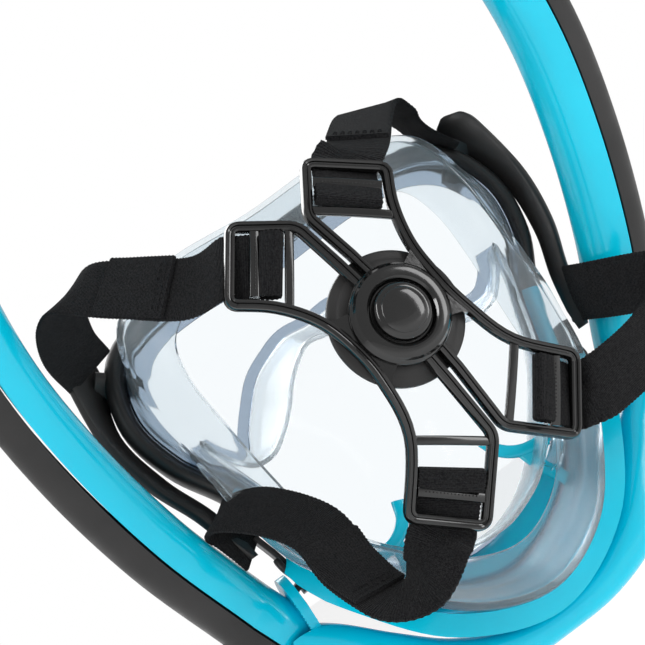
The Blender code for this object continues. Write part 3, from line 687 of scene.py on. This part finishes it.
def make_gaskets():
    """Smoked gaskets: one behind the lens's edge, widest along the brow, and one at the nose pocket."""
    edge = ring_of(LENS_EDGE)
    widths = [GASKET_WIDTH + GASKET_BROW_WIDTH * max(0.0, min(1.0, (p.z - 5) / 45)) for p in edge]
    middle = Vector((0, 0, LENS_CENTRE_Z + 15))
    rings = []
    for inwards, back in GASKET_SECTION:
        ring = []
        for p, width in zip(offset_ring(edge, -0.6), widths):
            towards = (middle - Vector((p.x, 0, p.z))).normalized()
            slope = -0.34 * width * inwards
            ring.append(p + towards * width * inwards + Vector((0, back + slope, 0)))
        rings.append(ring)
    piece("lens_gasket", loft(rings, around=True), "smoke_gasket", smooth=60)

    base = ring_of([behind_lens(x, z, NOSE_GAP) for x, z in NOSE_BASE], 5)
    rings = [offset_ring(base, out, back) for out, back in NOSE_GASKET_SECTION]
    piece("nose_gasket", loft(rings, around=True), "smoke_gasket", smooth=60)


def make_chin_panel():
    """The turquoise crescent behind the lens's chin, from the inner mask's foot to the lens's edge."""
    edge = ring_of(LENS_EDGE)
    foot = offset_ring(ring_of([(x, 0, z) for x, z in NOSE_BASE], 5), 1.6)
    chosen = [i for i, p in enumerate(edge) if p.z < CHIN_PANEL_TOP_Z]
    start, end = first_and_last(chosen, len(edge))
    rows = []
    for k in range((end - start) % len(edge) + 1):
        outer = edge[(start + k) % len(edge)]
        inner = min(foot, key=lambda q: math.hypot(q.x - outer.x, q.z - outer.z))
        across = [
            (outer.x + (inner.x - outer.x) * t, outer.z + (inner.z - outer.z) * t) for t in PANEL_STEPS
        ]
        front, back = ([Vector(behind_lens(x, z, gap)) for x, z in across] for gap in PANEL_GAPS)
        rows.append(front + list(reversed(back)))
    piece("chin_panel", loft(rows), "teal_gloss", smooth=60)


def make_chin_cup():
    """The turquoise cup that carries the skirt's chin back from the lens frame, and its two brackets."""
    neck, rim = offset_ring(ring_of(LENS_EDGE), 3.4, 7.6), ring_of(FACE_RIM)
    chosen = [i for i, p in enumerate(neck) if p.z < CHIN_CUP_TOP_Z]
    chosen.sort(key=lambda i: neck[i].x)
    inner, outer = [], []
    for i in chosen:
        lowness = min(1.0, (CHIN_CUP_TOP_Z - neck[i].z) / 12)
        line = catmull([neck[i], neck[i].lerp(rim[i], 0.5) + Vector((0, 1, 0)), rim[i]], 6)
        line = line[: max(4, round(len(line) * (0.3 + 0.46 * lowness)))]
        away = Vector((neck[i].x, 0, neck[i].z - CHIN_CUP_CENTRE_Z)).normalized()
        inner.append([p + away * 2.6 for p in line])
        outer.append([p + away * (4.6 + 8.0 * (k / len(line)) ** 2) for k, p in enumerate(line)])
    last = min(len(line) for line in inner) + 2
    rows = []
    for a, b in zip(inner, outer):
        picked = [round(k * (len(a) - 1) / last) for k in range(last + 1)]
        rows.append([a[k] for k in picked] + [b[k] for k in reversed(picked)])
    piece("chin_cup", loft(rows), "teal_gloss", smooth=60)
    for name, side in SIDES:
        make_chin_bracket(name, side)


def make_chin_bracket(name, side):
    blade = superellipse(2.6, 1.4, 0, 345, 24, 4)
    arm = catmull(mirrored([(21, 2, -58), (24, 4, -65), (31, 6, -70), (42, 8, -72)], side), 6)
    rib = catmull(mirrored([(31, 5, -70), (33, 8, -78), (38, 12, -90)], side), 6)
    bracket = join(*[loft(sweep(line, lambda share: blade, BACKWARDS)) for line in (arm, rib)])
    piece("chin_bracket_" + name, bracket, "teal_gloss", smooth=50)


# ---- tubes ---------------------------------------------------------------------------------------
def tube_line(side, steps=8):
    line = catmull(TUBE_ROUTE, steps)
    return [Vector((p.x * side, p.y, p.z)) for p in line]


def shell_section(start, end, count, width, depth, wall):
    """A C-shaped half of the tube's section, with rounded edges."""
    outer = superellipse(width, depth, start, end, count)
    inner = superellipse(width - wall, max(depth - wall, 0.3), start, end, count)
    return outer + list(reversed(inner))


def make_tube(name, side):
    """A tube of two halves whose lower end is rounded about the fold's axis, with a well for the button."""
    line = tube_line(side)
    along = (line[1] - line[0]).normalized()
    normal = Vector((0, math.cos(LOOP_LEAN), -math.sin(LOOP_LEAN)))
    rounding = 9  # rings in the rounded end
    ends = [math.sin(math.pi / 2 * (k + 0.35) / (rounding + 0.35)) for k in range(rounding)]
    down = [line[0] - along * TUBE_HALF_DEPTH * math.sqrt(1 - e * e) for e in ends]
    full = down + line
    depths = ends + [1.0] * len(line)
    seam = math.degrees(math.acos((TUBE_SEAM_U / TUBE_HALF_WIDTH) ** (SECTION_POWER / 2)))
    gap = math.degrees(TUBE_SEAM_GAP / TUBE_HALF_DEPTH)
    covered = ["tube_cover_" + name, "tube_knuckle_" + name]
    halves = (
        ("tube_inner_half_", seam + gap, 360 - seam - gap, 45, "teal_gloss", ["tube_shell_" + name]),
        ("tube_outer_half_", -seam + gap, seam - gap, 37, "black_satin", covered),
    )
    for prefix, start, end, count, slot, replaced in halves:
        inset = COVER_INSET if slot == "black_satin" else 0.0

        def section_at(share):
            depth = TUBE_HALF_DEPTH * depths[round(share * (len(depths) - 1))]
            inner_depth = depth - inset * depth / TUBE_HALF_DEPTH
            points = shell_section(start, end, count, TUBE_HALF_WIDTH - inset, inner_depth, TUBE_WALL)
            return [(u * side, v) for u, v in points]

        bm = loft(sweep(full, section_at, normal))
        half = piece(prefix + name, bm, slot, "tube_loop", replaced, smooth=38)
        if slot == "black_satin":
            cut(half, bar_x(BUTTON_WELL_RADIUS, BUTTON_WELL_FLOOR * side, PAST_SIDE_X * side))
        soften(half, 0.35)


def to_crown(bm):
    turn = Matrix.Translation(CROWN_CENTRE) @ Matrix.Rotation(-LOOP_LEAN, 4, "X")
    bmesh.ops.transform(bm, verts=bm.verts, matrix=turn)
    return bm


def make_crown():
    """The crown's visible shells: a T-shaped body with collars and rings, and a domed cap."""
    arm = []
    for k in range(25):
        x = -CROWN_HALF_LENGTH + 2 * CROWN_HALF_LENGTH * k / 24
        swell = 1.4 * math.cos(math.pi * x / (2 * CROWN_HALF_LENGTH)) ** 2
        arm.append((16.3 + swell - (1.2 if abs(x) > 29.5 else 0), x))
    arm += [(13.2, CROWN_HALF_LENGTH), (13.2, -CROWN_HALF_LENGTH)]
    bm = placed(turned(arm, TURN_SIDES), (0, 0, 0), (1, 0, 0))
    body = piece("crown_shell", to_crown(bm), "teal_gloss", "tube_loop", ["crown_body"])
    stem = [(17.6, 0), (18.6, 12), (19.0, 22), (19.0, 38), (16.5, 38), (16.5, 2), (12, 0)]
    cut(body, to_crown(turned(stem, TURN_SIDES)), "UNION")
    cut(body, to_crown(turned([(0, -4), (16.2, -4), (16.2, 60), (0, 60)], TURN_SIDES)))
    for name, side in SIDES:
        low, high = 24.5, 30.5
        collar = [(17.0, low), (18.2, low + 1), (18.4, high - 1.5), (17.2, high), (15.6, high), (15.6, low)]
        bm = placed(turned(collar, TURN_SIDES), (0, 0, 0), (side, 0, 0))
        piece("crown_collar_" + name, to_crown(bm), "black_satin", "tube_loop")
    rings = []
    for z in (27, 32):
        ring = [(19.0, z), (20.2, z + 0.8), (20.2, z + 2.2), (19.0, z + 3), (17, z + 3), (17, z)]
        rings.append(turned(ring, TURN_SIDES))
    piece("crown_grip_rings", to_crown(join(*rings)), "black_satin", "tube_loop")
    cap = [(0, CAGE_TOP + 0.4), (19.5, CAGE_TOP + 0.4), (20.6, CAGE_TOP + 1.4)]
    cap.append((CAP_RADIUS, CAGE_TOP + 4.5))
    for angle in [math.pi / 2 * k / 12 for k in range(1, 12)]:
        cap.append((CAP_RADIUS * math.cos(angle), CAGE_TOP + 4.5 + 9.8 * math.sin(angle)))
    cap.append((0, CAGE_TOP + 14.3))
    piece("crown_cap", to_crown(turned(cap, TURN_SIDES)), "teal_gloss", "tube_loop", ["top_cap"])


# ---- chin ----------------------------------------------------------------------------------------
def chin_line(steps=10):
    line = catmull([(-x, y, z) for x, y, z in reversed(CHIN_ROUTE[1:])] + CHIN_ROUTE, steps)
    halves = catmull([(w, 0, 0) for w in list(reversed(CHIN_HALF_WIDTHS[1:])) + CHIN_HALF_WIDTHS], steps)
    return line, [p.x for p in halves]


def knuckle_room(side, clearance=0.0):
    """A cutter that leaves room for a tube's rounded end, and more room on the way that it folds."""
    rings = []
    for x in sorted((KNUCKLE_FACE_X * side, PAST_SIDE_X * side)):
        ring = []
        for k in range(72):
            degrees = 5 * k - 70
            radius = 22.0 if degrees < 135 else KNUCKLE_RADIUS + clearance
            angle = math.radians(degrees)
            ring.append(Vector((x, HINGE_Y - radius * math.sin(angle), HINGE_Z + radius * math.cos(angle))))
        rings.append(ring)
    return loft(rings)


def bar_x(radius, low, high, sides=64):
    """A round bar along X about the hinge axis."""
    low, high = sorted((low, high))
    middle = Vector((0, HINGE_Y, HINGE_Z))
    return placed(turned([(0, low), (radius, low), (radius, high), (0, high)], sides), middle, (1, 0, 0))


def make_chin():
    line, widths = chin_line()

    def body_at(share):
        return superellipse(widths[round(share * (len(widths) - 1))], 12.3, 0, 352.5, 48, 3.0)

    bm = loft(sweep(line, body_at, BACKWARDS))
    block = piece("chin_shell", bm, "teal_gloss", replaces=["chin_block"])
    for _, side in SIDES:
        cut(block, bar_x(KNUCKLE_RADIUS, CHEEK_X[0] * side, CHEEK_X[1] * side), "UNION")
    for _, side in SIDES:
        cut(block, knuckle_room(side))
    soften(block, 0.5, segments=2, angle=40)

    count = len(line)
    for name, side in SIDES:
        run = [i for i in range(count) if line[i].x * side > 57]
        path = [line[i] for i in run]
        sizes = [widths[i] for i in run]

        def cover_at(share):
            width = sizes[round(share * (len(sizes) - 1))]
            outer = superellipse(width + 0.9, 13.2, 205, 360, 30, 3.0)
            inner = superellipse(width + 0.05, 12.35, 205, 360, 30, 3.0)
            return [(u, v) for u, v in outer + list(reversed(inner))]

        bm = loft(sweep(path, cover_at, BACKWARDS))
        cover = piece("chin_cover_" + name, bm, "black_satin")
        cut(cover, knuckle_room(side, 0.2))


# ---- side arms, clips and buttons ----------------------------------------------------------------
def make_side_arm(name, side):
    """A curved strut with a blunt head, a raised outer rib and a foot that carries the lower strap."""
    steps = 8
    outer = catmull([(x * side, y, z) for z, (x, y), _ in SIDE_ARM], steps)
    inner = catmull([(x * side, y, z) for z, _, (x, y) in SIDE_ARM], steps)
    rings = []
    last = len(outer) - 1
    for i, (a, b) in enumerate(zip(outer, inner)):
        across = (b - a).normalized()
        out = across.cross(Vector((0, 0, side))).normalized()
        round_off = math.sqrt(min(1.0, (i + 0.4) / 5)) * math.sqrt(min(1.0, (last - i + 1) / 4))
        middle = (a + b) / 2
        half = (b - a).length / 2 * round_off
        profile = [
            (-1.0, 0.2), (-0.96, 1.4), (-0.86, 2.3), (-0.72, 2.3), (-0.62, 1.5), (0.0, 1.2), (0.6, 1.3),
            (0.9, 1.2), (1.0, 0.4), (1.0, -1.2), (0.85, -2.0), (0.0, -2.2), (-0.85, -2.0), (-1.0, -1.2),
        ]
        rings.append([middle + across * half * s - out * t for s, t in profile])
    stalk_line = mirrored([(93, -9, 48), (86, -11, 43), (80, -12, 36)], side)
    oval = superellipse(6.5, 2.4, 0, 345, 24, 3)
    stalk = loft(sweep(stalk_line, lambda share: oval, (0.6 * side, 0.8, 0)))
    whole = join(loft(rings), stalk)
    piece("side_arm_shell_" + name, whole, "black_satin", replaces=["side_arm_" + name], smooth=50)


def make_clip(name, side):
    """The flat clip between the lower strap and the chin block, with a raised tab and a hook."""
    plate_line = catmull(mirrored([(75.5, 2, -38), (71.6, 3, -52), (70.4, 4, -66)], side), 8)
    tab_line = catmull(mirrored([(74.0, 9, -50), (73.6, 11, -54), (72.0, 9, -58)], side), 5)
    hook_line = mirrored([(71, 3, -62), (76, 3, -64)], side)
    plate = superellipse(1.3, 6.2, 0, 345, 24, 5)
    tab = superellipse(1.4, 2.2, 0, 345, 24, 4)
    hook = superellipse(1.6, 4.5, 0, 345, 24, 4)
    shapes = []
    for line, section in ((plate_line, plate), (tab_line, tab), (hook_line, hook)):
        shapes.append(loft(sweep(line, lambda share: section, BACKWARDS)))
    clip = join(*shapes)
    piece("strap_clip_shell_" + name, clip, "black_satin", replaces=["strap_clip_" + name], bevel=0.3)


# ---- harness -------------------------------------------------------------------------------------
def crowned(x, z, lift=0.0):
    """A place on the harness frame, whose arms fall away from the hub."""
    return Vector((x, lift - HARNESS_CROWNING * (x * x + z * z) / HARNESS_REACH**2, z))


def harness_matrix():
    return Matrix.Translation(HARNESS_CENTRE) @ HARNESS_TURN.to_matrix().to_4x4()


def to_harness(bm):
    bmesh.ops.transform(bm, verts=bm.verts, matrix=harness_matrix())
    return bm


def rounded(points, corners, radius=3.2, steps=6):
    line = []
    for i, point in enumerate(points):
        if i not in corners:
            line.append(Vector(point))
            continue
        here, before, after = Vector(point), Vector(points[i - 1]), Vector(points[i + 1])
        start = here + (before - here).normalized() * radius
        end = here + (after - here).normalized() * radius
        for k in range(steps + 1):
            t = k / steps
            line.append(start * (1 - t) ** 2 + here * 2 * t * (1 - t) + end * t * t)
    return line


def smooth_rails(points):
    """The side's outline with its long concave rail as a smooth curve between the two loops."""
    first, last = UPPER_CORNERS[-1], LOWER_CORNERS[0]
    rail = catmull([(p[0], p[1], 0) for p in points[first : last + 1]], 6)
    whole = points[:first] + [(p.x, p.y) for p in rail] + points[last + 1 :]
    shift = len(rail) - (last + 1 - first)
    return rounded(whole, {*UPPER_CORNERS, *(corner + shift for corner in LOWER_CORNERS)})


def rail_section(side):
    """A rail seen end on: a high outer lip, a groove and a lower inner lip."""
    points = [
        (-1.95, -1.6), (-2.0, 1.0), (-1.7, 1.85), (-1.1, 2.1), (-0.5, 1.9), (-0.25, 1.2), (0.15, 1.1),
        (0.4, 1.5), (0.9, 1.65), (1.5, 1.4), (1.8, 0.8), (1.8, -1.5), (1.3, -2.0), (-1.5, -2.0),
    ]
    return [(u * side, v) for u, v in points]


def flat_bar(start, end, width, thickness, lift):
    """A straight flat bar between two places on the harness frame."""
    steps = 6
    line = []
    for k in range(steps + 1):
        x, z = (a + (b - a) * k / steps for a, b in zip(start, end))
        line.append(crowned(x, z, lift))
    section = superellipse(width / 2, thickness / 2, 0, 345, 24, 4)
    return loft(sweep(line, lambda share: section, BACKWARDS))


def hub_turned(profile):
    return placed(turned(profile, 96), (0, 0, 0), BACKWARDS)


def make_harness():
    """The X-shaped frame with its hub, the pad under the hub, the button on it and the toothed bars."""
    parts = []
    for _, side in SIDES:
        flat = smooth_rails([(x * side, z) for x, z in HARNESS_SIDE])
        line = [crowned(p.x, p.y) for p in flat]
        parts.append(loft(sweep(line, lambda share: rail_section(side), BACKWARDS)))
        for start, end in INNER_BARS.values():
            parts.append(flat_bar((start[0] * side, start[1]), (end[0] * side, end[1]), 3.2, 2.2, -0.3))
    parts.append(hub_turned(HUB_PROFILE))
    for _, side in SIDES:  # the shoulders between the hub and its side rails
        low, high = ([crowned(x * side, z, lift) for x, z in HUB_SHOULDER] for lift in (-1.9, 1.1))
        parts.append(loft([low, high]))
    shell = to_harness(join(*parts))
    piece("harness_shell", shell, "black_gloss", "harness", ["harness_frame"], smooth=35)
    piece("hub_pad_shell", to_harness(hub_turned(PAD_PROFILE)), "black_satin", "harness", ["hub_pad"])
    dome = [(0, 2.1), (10.2, 2.1), (10.4, 3.2), (10.0, 4.6), (9.0, 5.5)]
    for angle in [math.pi / 2 * k / 9 for k in range(9)]:
        dome.append((7.6 * math.cos(angle) + 0.4, 5.6 + 1.3 * math.sin(angle)))
    dome.append((0, 6.9))
    piece("hub_button_shell", to_harness(hub_turned(dome)), "black_gloss", "harness", ["hub_button"])
    for where in KEEPERS:
        for name, side in SIDES:
            make_toothed_bar(where, name, side)


def make_toothed_bar(where, name, side):
    """The bar in a strap loop, with a row of small teeth that bite the webbing."""
    a, b = ((x * side, z) for x, z in KEEPERS[where])
    bars = [flat_bar(a, b, 3.6, 2.2, 0.2)]
    for k in range(15):
        share = 0.12 + 0.76 * k / 14
        x, z = a[0] + (b[0] - a[0]) * share, a[1] + (b[1] - a[1]) * share
        tooth = turned([(0, 0), (0.34, 0), (0.22, 0.5), (0, 0.6)], 8)
        bars.append(placed(tooth, crowned(x, z, 1.1), BACKWARDS))
    bm = to_harness(join(*bars))
    piece(f"toothed_bar_{where}_{name}", bm, "black_gloss", "harness", [f"strap_keeper_{where}_{name}"])


# ---- straps --------------------------------------------------------------------------------------
def even_spots(points):
    """Places and width directions at even steps along smooth lines through the points, and the length."""
    line = catmull([p for p, _ in points], STRAP_STEPS)
    across = [d.normalized() for d in catmull([d for _, d in points], STRAP_STEPS)]
    length = sum((b - a).length for a, b in zip(line, line[1:]))
    count = max(12, round(length / 0.8))
    far, total, spots = 0, 0.0, []
    for k in range(count + 1):
        goal = length * k / count
        while far < len(line) - 2 and total + (line[far + 1] - line[far]).length < goal:
            total += (line[far + 1] - line[far]).length
            far += 1
        t = min(1.0, (goal - total) / (line[far + 1] - line[far]).length)
        spots.append((line[far].lerp(line[far + 1], t), across[far].lerp(across[far + 1], t)))
    return spots, length


def webbing_section(w, half):
    top = [(half * 0.6, w), (half, w - 0.7), (half, w * 0.5), (half, 0), (half, -w * 0.5), (half, 0.7 - w)]
    low = [(-half * 0.6, -w), (-half, 0.7 - w), (-half, 0), (-half, w - 0.7), (-half * 0.6, w)]
    return top + [(half * 0.6, -w)] + low


def ribbon(points):
    """A band of webbing through places and width directions, with a slightly sawn edge, and its length."""
    spots, length = even_spots(points)
    path, widths = [p for p, _ in spots], [w for _, w in spots]
    bm = bmesh.new()
    uv = bm.loops.layers.uv.new("weave")
    rows = []
    for i, (point, along) in enumerate(zip(path, tangents_of(path))):
        v = (widths[i] - along * widths[i].dot(along)).normalized()
        u = v.cross(along).normalized()
        section = webbing_section(STRAP_WIDTH / 2 + (0.22 if i % 2 else -0.1), STRAP_THICKNESS / 2)
        rows.append([(bm.verts.new(point + u * a + v * b), b) for a, b in section])
    step = length / (len(rows) - 1)
    for k in range(len(rows) - 1):
        near, far = rows[k], rows[k + 1]
        for i in range(len(near)):
            j = (i + 1) % len(near)
            corners = ((near[i], k), (near[j], k), (far[j], k + 1), (far[i], k + 1))
            face = bm.faces.new([vert for (vert, _), _ in corners])
            for loop, ((_, b), row) in zip(face.loops, corners):
                loop[uv].uv = (b, row * step)
    bm.faces.new([vert for vert, _ in rows[0]])
    bm.faces.new([vert for vert, _ in rows[-1]])
    return bm, length


def in_harness(where, side, past, lift):
    """A place in a strap loop, so far past its middle towards its outer bar, with a lift off the frame."""
    (x, z), (out_x, out_z) = LOOP_PLACES[where]
    spot = Vector((x * side, z)) + Vector((out_x * side, out_z)) * past
    return harness_matrix() @ crowned(spot.x, spot.y, lift)


def loop_width(where, side):
    """The direction along a strap loop's bar."""
    _, (out_x, out_z) = LOOP_PLACES[where]
    return HARNESS_TURN.to_matrix() @ Vector((-out_z * side, 0, out_x))


def stitches(bm, rows):
    """Short raised stitches in rows across a strap's end."""
    for start, end, out in rows:
        for k in range(STITCHES):
            a, b = start.lerp(end, (k + 0.2) / STITCHES), start.lerp(end, (k + 0.75) / STITCHES)
            line = [a + out * 0.1, a.lerp(b, 0.3) + out * 0.45, a.lerp(b, 0.7) + out * 0.45, b + out * 0.1]
            add_to(bm, loft(sweep(line, lambda share: superellipse(0.22, 0.22, 0, 300, 6, 2), out)))


def tail_points(run, shares):
    """The places of a folded end: its band's own places, lifted off the band on its rear side."""
    line = catmull([p for p, _ in run], STRAP_STEPS)
    wide = catmull([d for _, d in run], STRAP_STEPS)
    along = tangents_of(line)
    first, last = (round(share * (len(line) - 1)) for share in shares)
    points = []
    for i in range(first, last - 1, -1):
        out = wide[i].cross(along[i]).normalized()
        out *= -1 if out.y < 0 else 1
        points.append((line[i] + out * TAIL_LIFT, wide[i], out))
    return points


def make_tail(name, run):
    """A strap's folded end, sewn to its band."""
    points = tail_points(run, STRAP_TAILS[name])
    bm, _ = ribbon([(place, wide) for place, wide, _ in points])
    (first, wide, out), (second, _, _) = points[0], points[1]
    along = (second - first).normalized()
    wide = (wide - along * wide.dot(along)).normalized()
    rows = []
    for step in STITCH_ROWS:
        middle = first + along * step + out * (STRAP_THICKNESS / 2)
        rows.append((middle - wide * STITCH_HALF_WIDTH, middle + wide * STITCH_HALF_WIDTH, out))
    stitches(bm, rows)
    tail = plain_object("strap_tail_" + name, bm, LOOKS["webbing"], 60)
    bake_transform(tail)
    return tail


def make_straps():
    for name, run in STRAP_RUNS.items():
        where, side_name = name.split("_")
        side = 1 if side_name == "left" else -1
        across = loop_width(where, side)
        if Vector(run[-1][1]).dot(across) < 0:
            across = -across
        wrap = [(in_harness(where, side, past, lift), across) for past, lift in LOOP_WRAP]
        points = [(Vector(p), Vector(d)) for p, d in run] + wrap
        bm, length = ribbon(points)
        strap = plain_object("strap_band_" + name, bm, LOOKS["webbing"], 60)
        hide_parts("strap_" + name)
        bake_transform(strap)
        tails = [make_tail(name, run)] if name in STRAP_TAILS else []


# ---- kept CAD pieces -----------------------------------------------------------------------------
def finish_kept_nodes():
    kept = {
        "valve_seat_": "lens_clear", "valve_flap_": "silicone_clear", "hinge_pin_": "black_satin",
        "fold_button_": "black_satin", "purge_seat": "teal_gloss", "purge_flap": "silicone_clear",
        "purge_cover": "black_satin", "float_cage": "black_satin", "float_seat": "black_satin",
        "float_seal": "seal_rubber", "float": "float_white",
    }
    for node, obj in nodes.items():
        slot = next((look for prefix, look in kept.items() if node.startswith(prefix)), None)
        if slot:
            for index in range(len(obj.material_slots)):
                obj.material_slots[index].material = LOOKS[slot]


def plain_look(name, colour, roughness, scale):
    material = principled(name, colour, roughness)
    vary(material, noise(material, scale), roughness * 0.8, roughness * 1.2, "Roughness")
    bump(material, noise(material, scale * 8), 0.1, 0.0003)
    return material


LOOKS = {
    "teal_gloss": make_teal(),
    "black_satin": make_satin(),
    "black_gloss": make_gloss(),
    "webbing": make_webbing(),
    "lens_clear": make_clear("lens_clear", (0.93, 0.965, 0.985), 0.03, 1.08),
    "silicone_clear": make_clear("silicone_clear", (0.85, 0.90, 0.93), 0.17, 1.17, 0.93),
    "smoke_gasket": make_clear("smoke_gasket", (0.36, 0.43, 0.52), 0.12, 1.1),
    "float_white": plain_look("float_white", (0.75, 0.75, 0.73), 0.5, 200),
    "seal_rubber": plain_look("seal_rubber", (0.03, 0.03, 0.03), 0.6, 300),
}

make_camera()
make_stage()
make_lens()
make_lens_frame()
make_skirt()
make_inner_mask()
make_gaskets()
make_chin_panel()
make_chin_cup()
make_chin()
make_crown()
for side_name, side_sign in SIDES:
    make_tube(side_name, side_sign)
    make_side_arm(side_name, side_sign)
    make_clip(side_name, side_sign)
make_harness()
make_straps()
finish_kept_nodes()
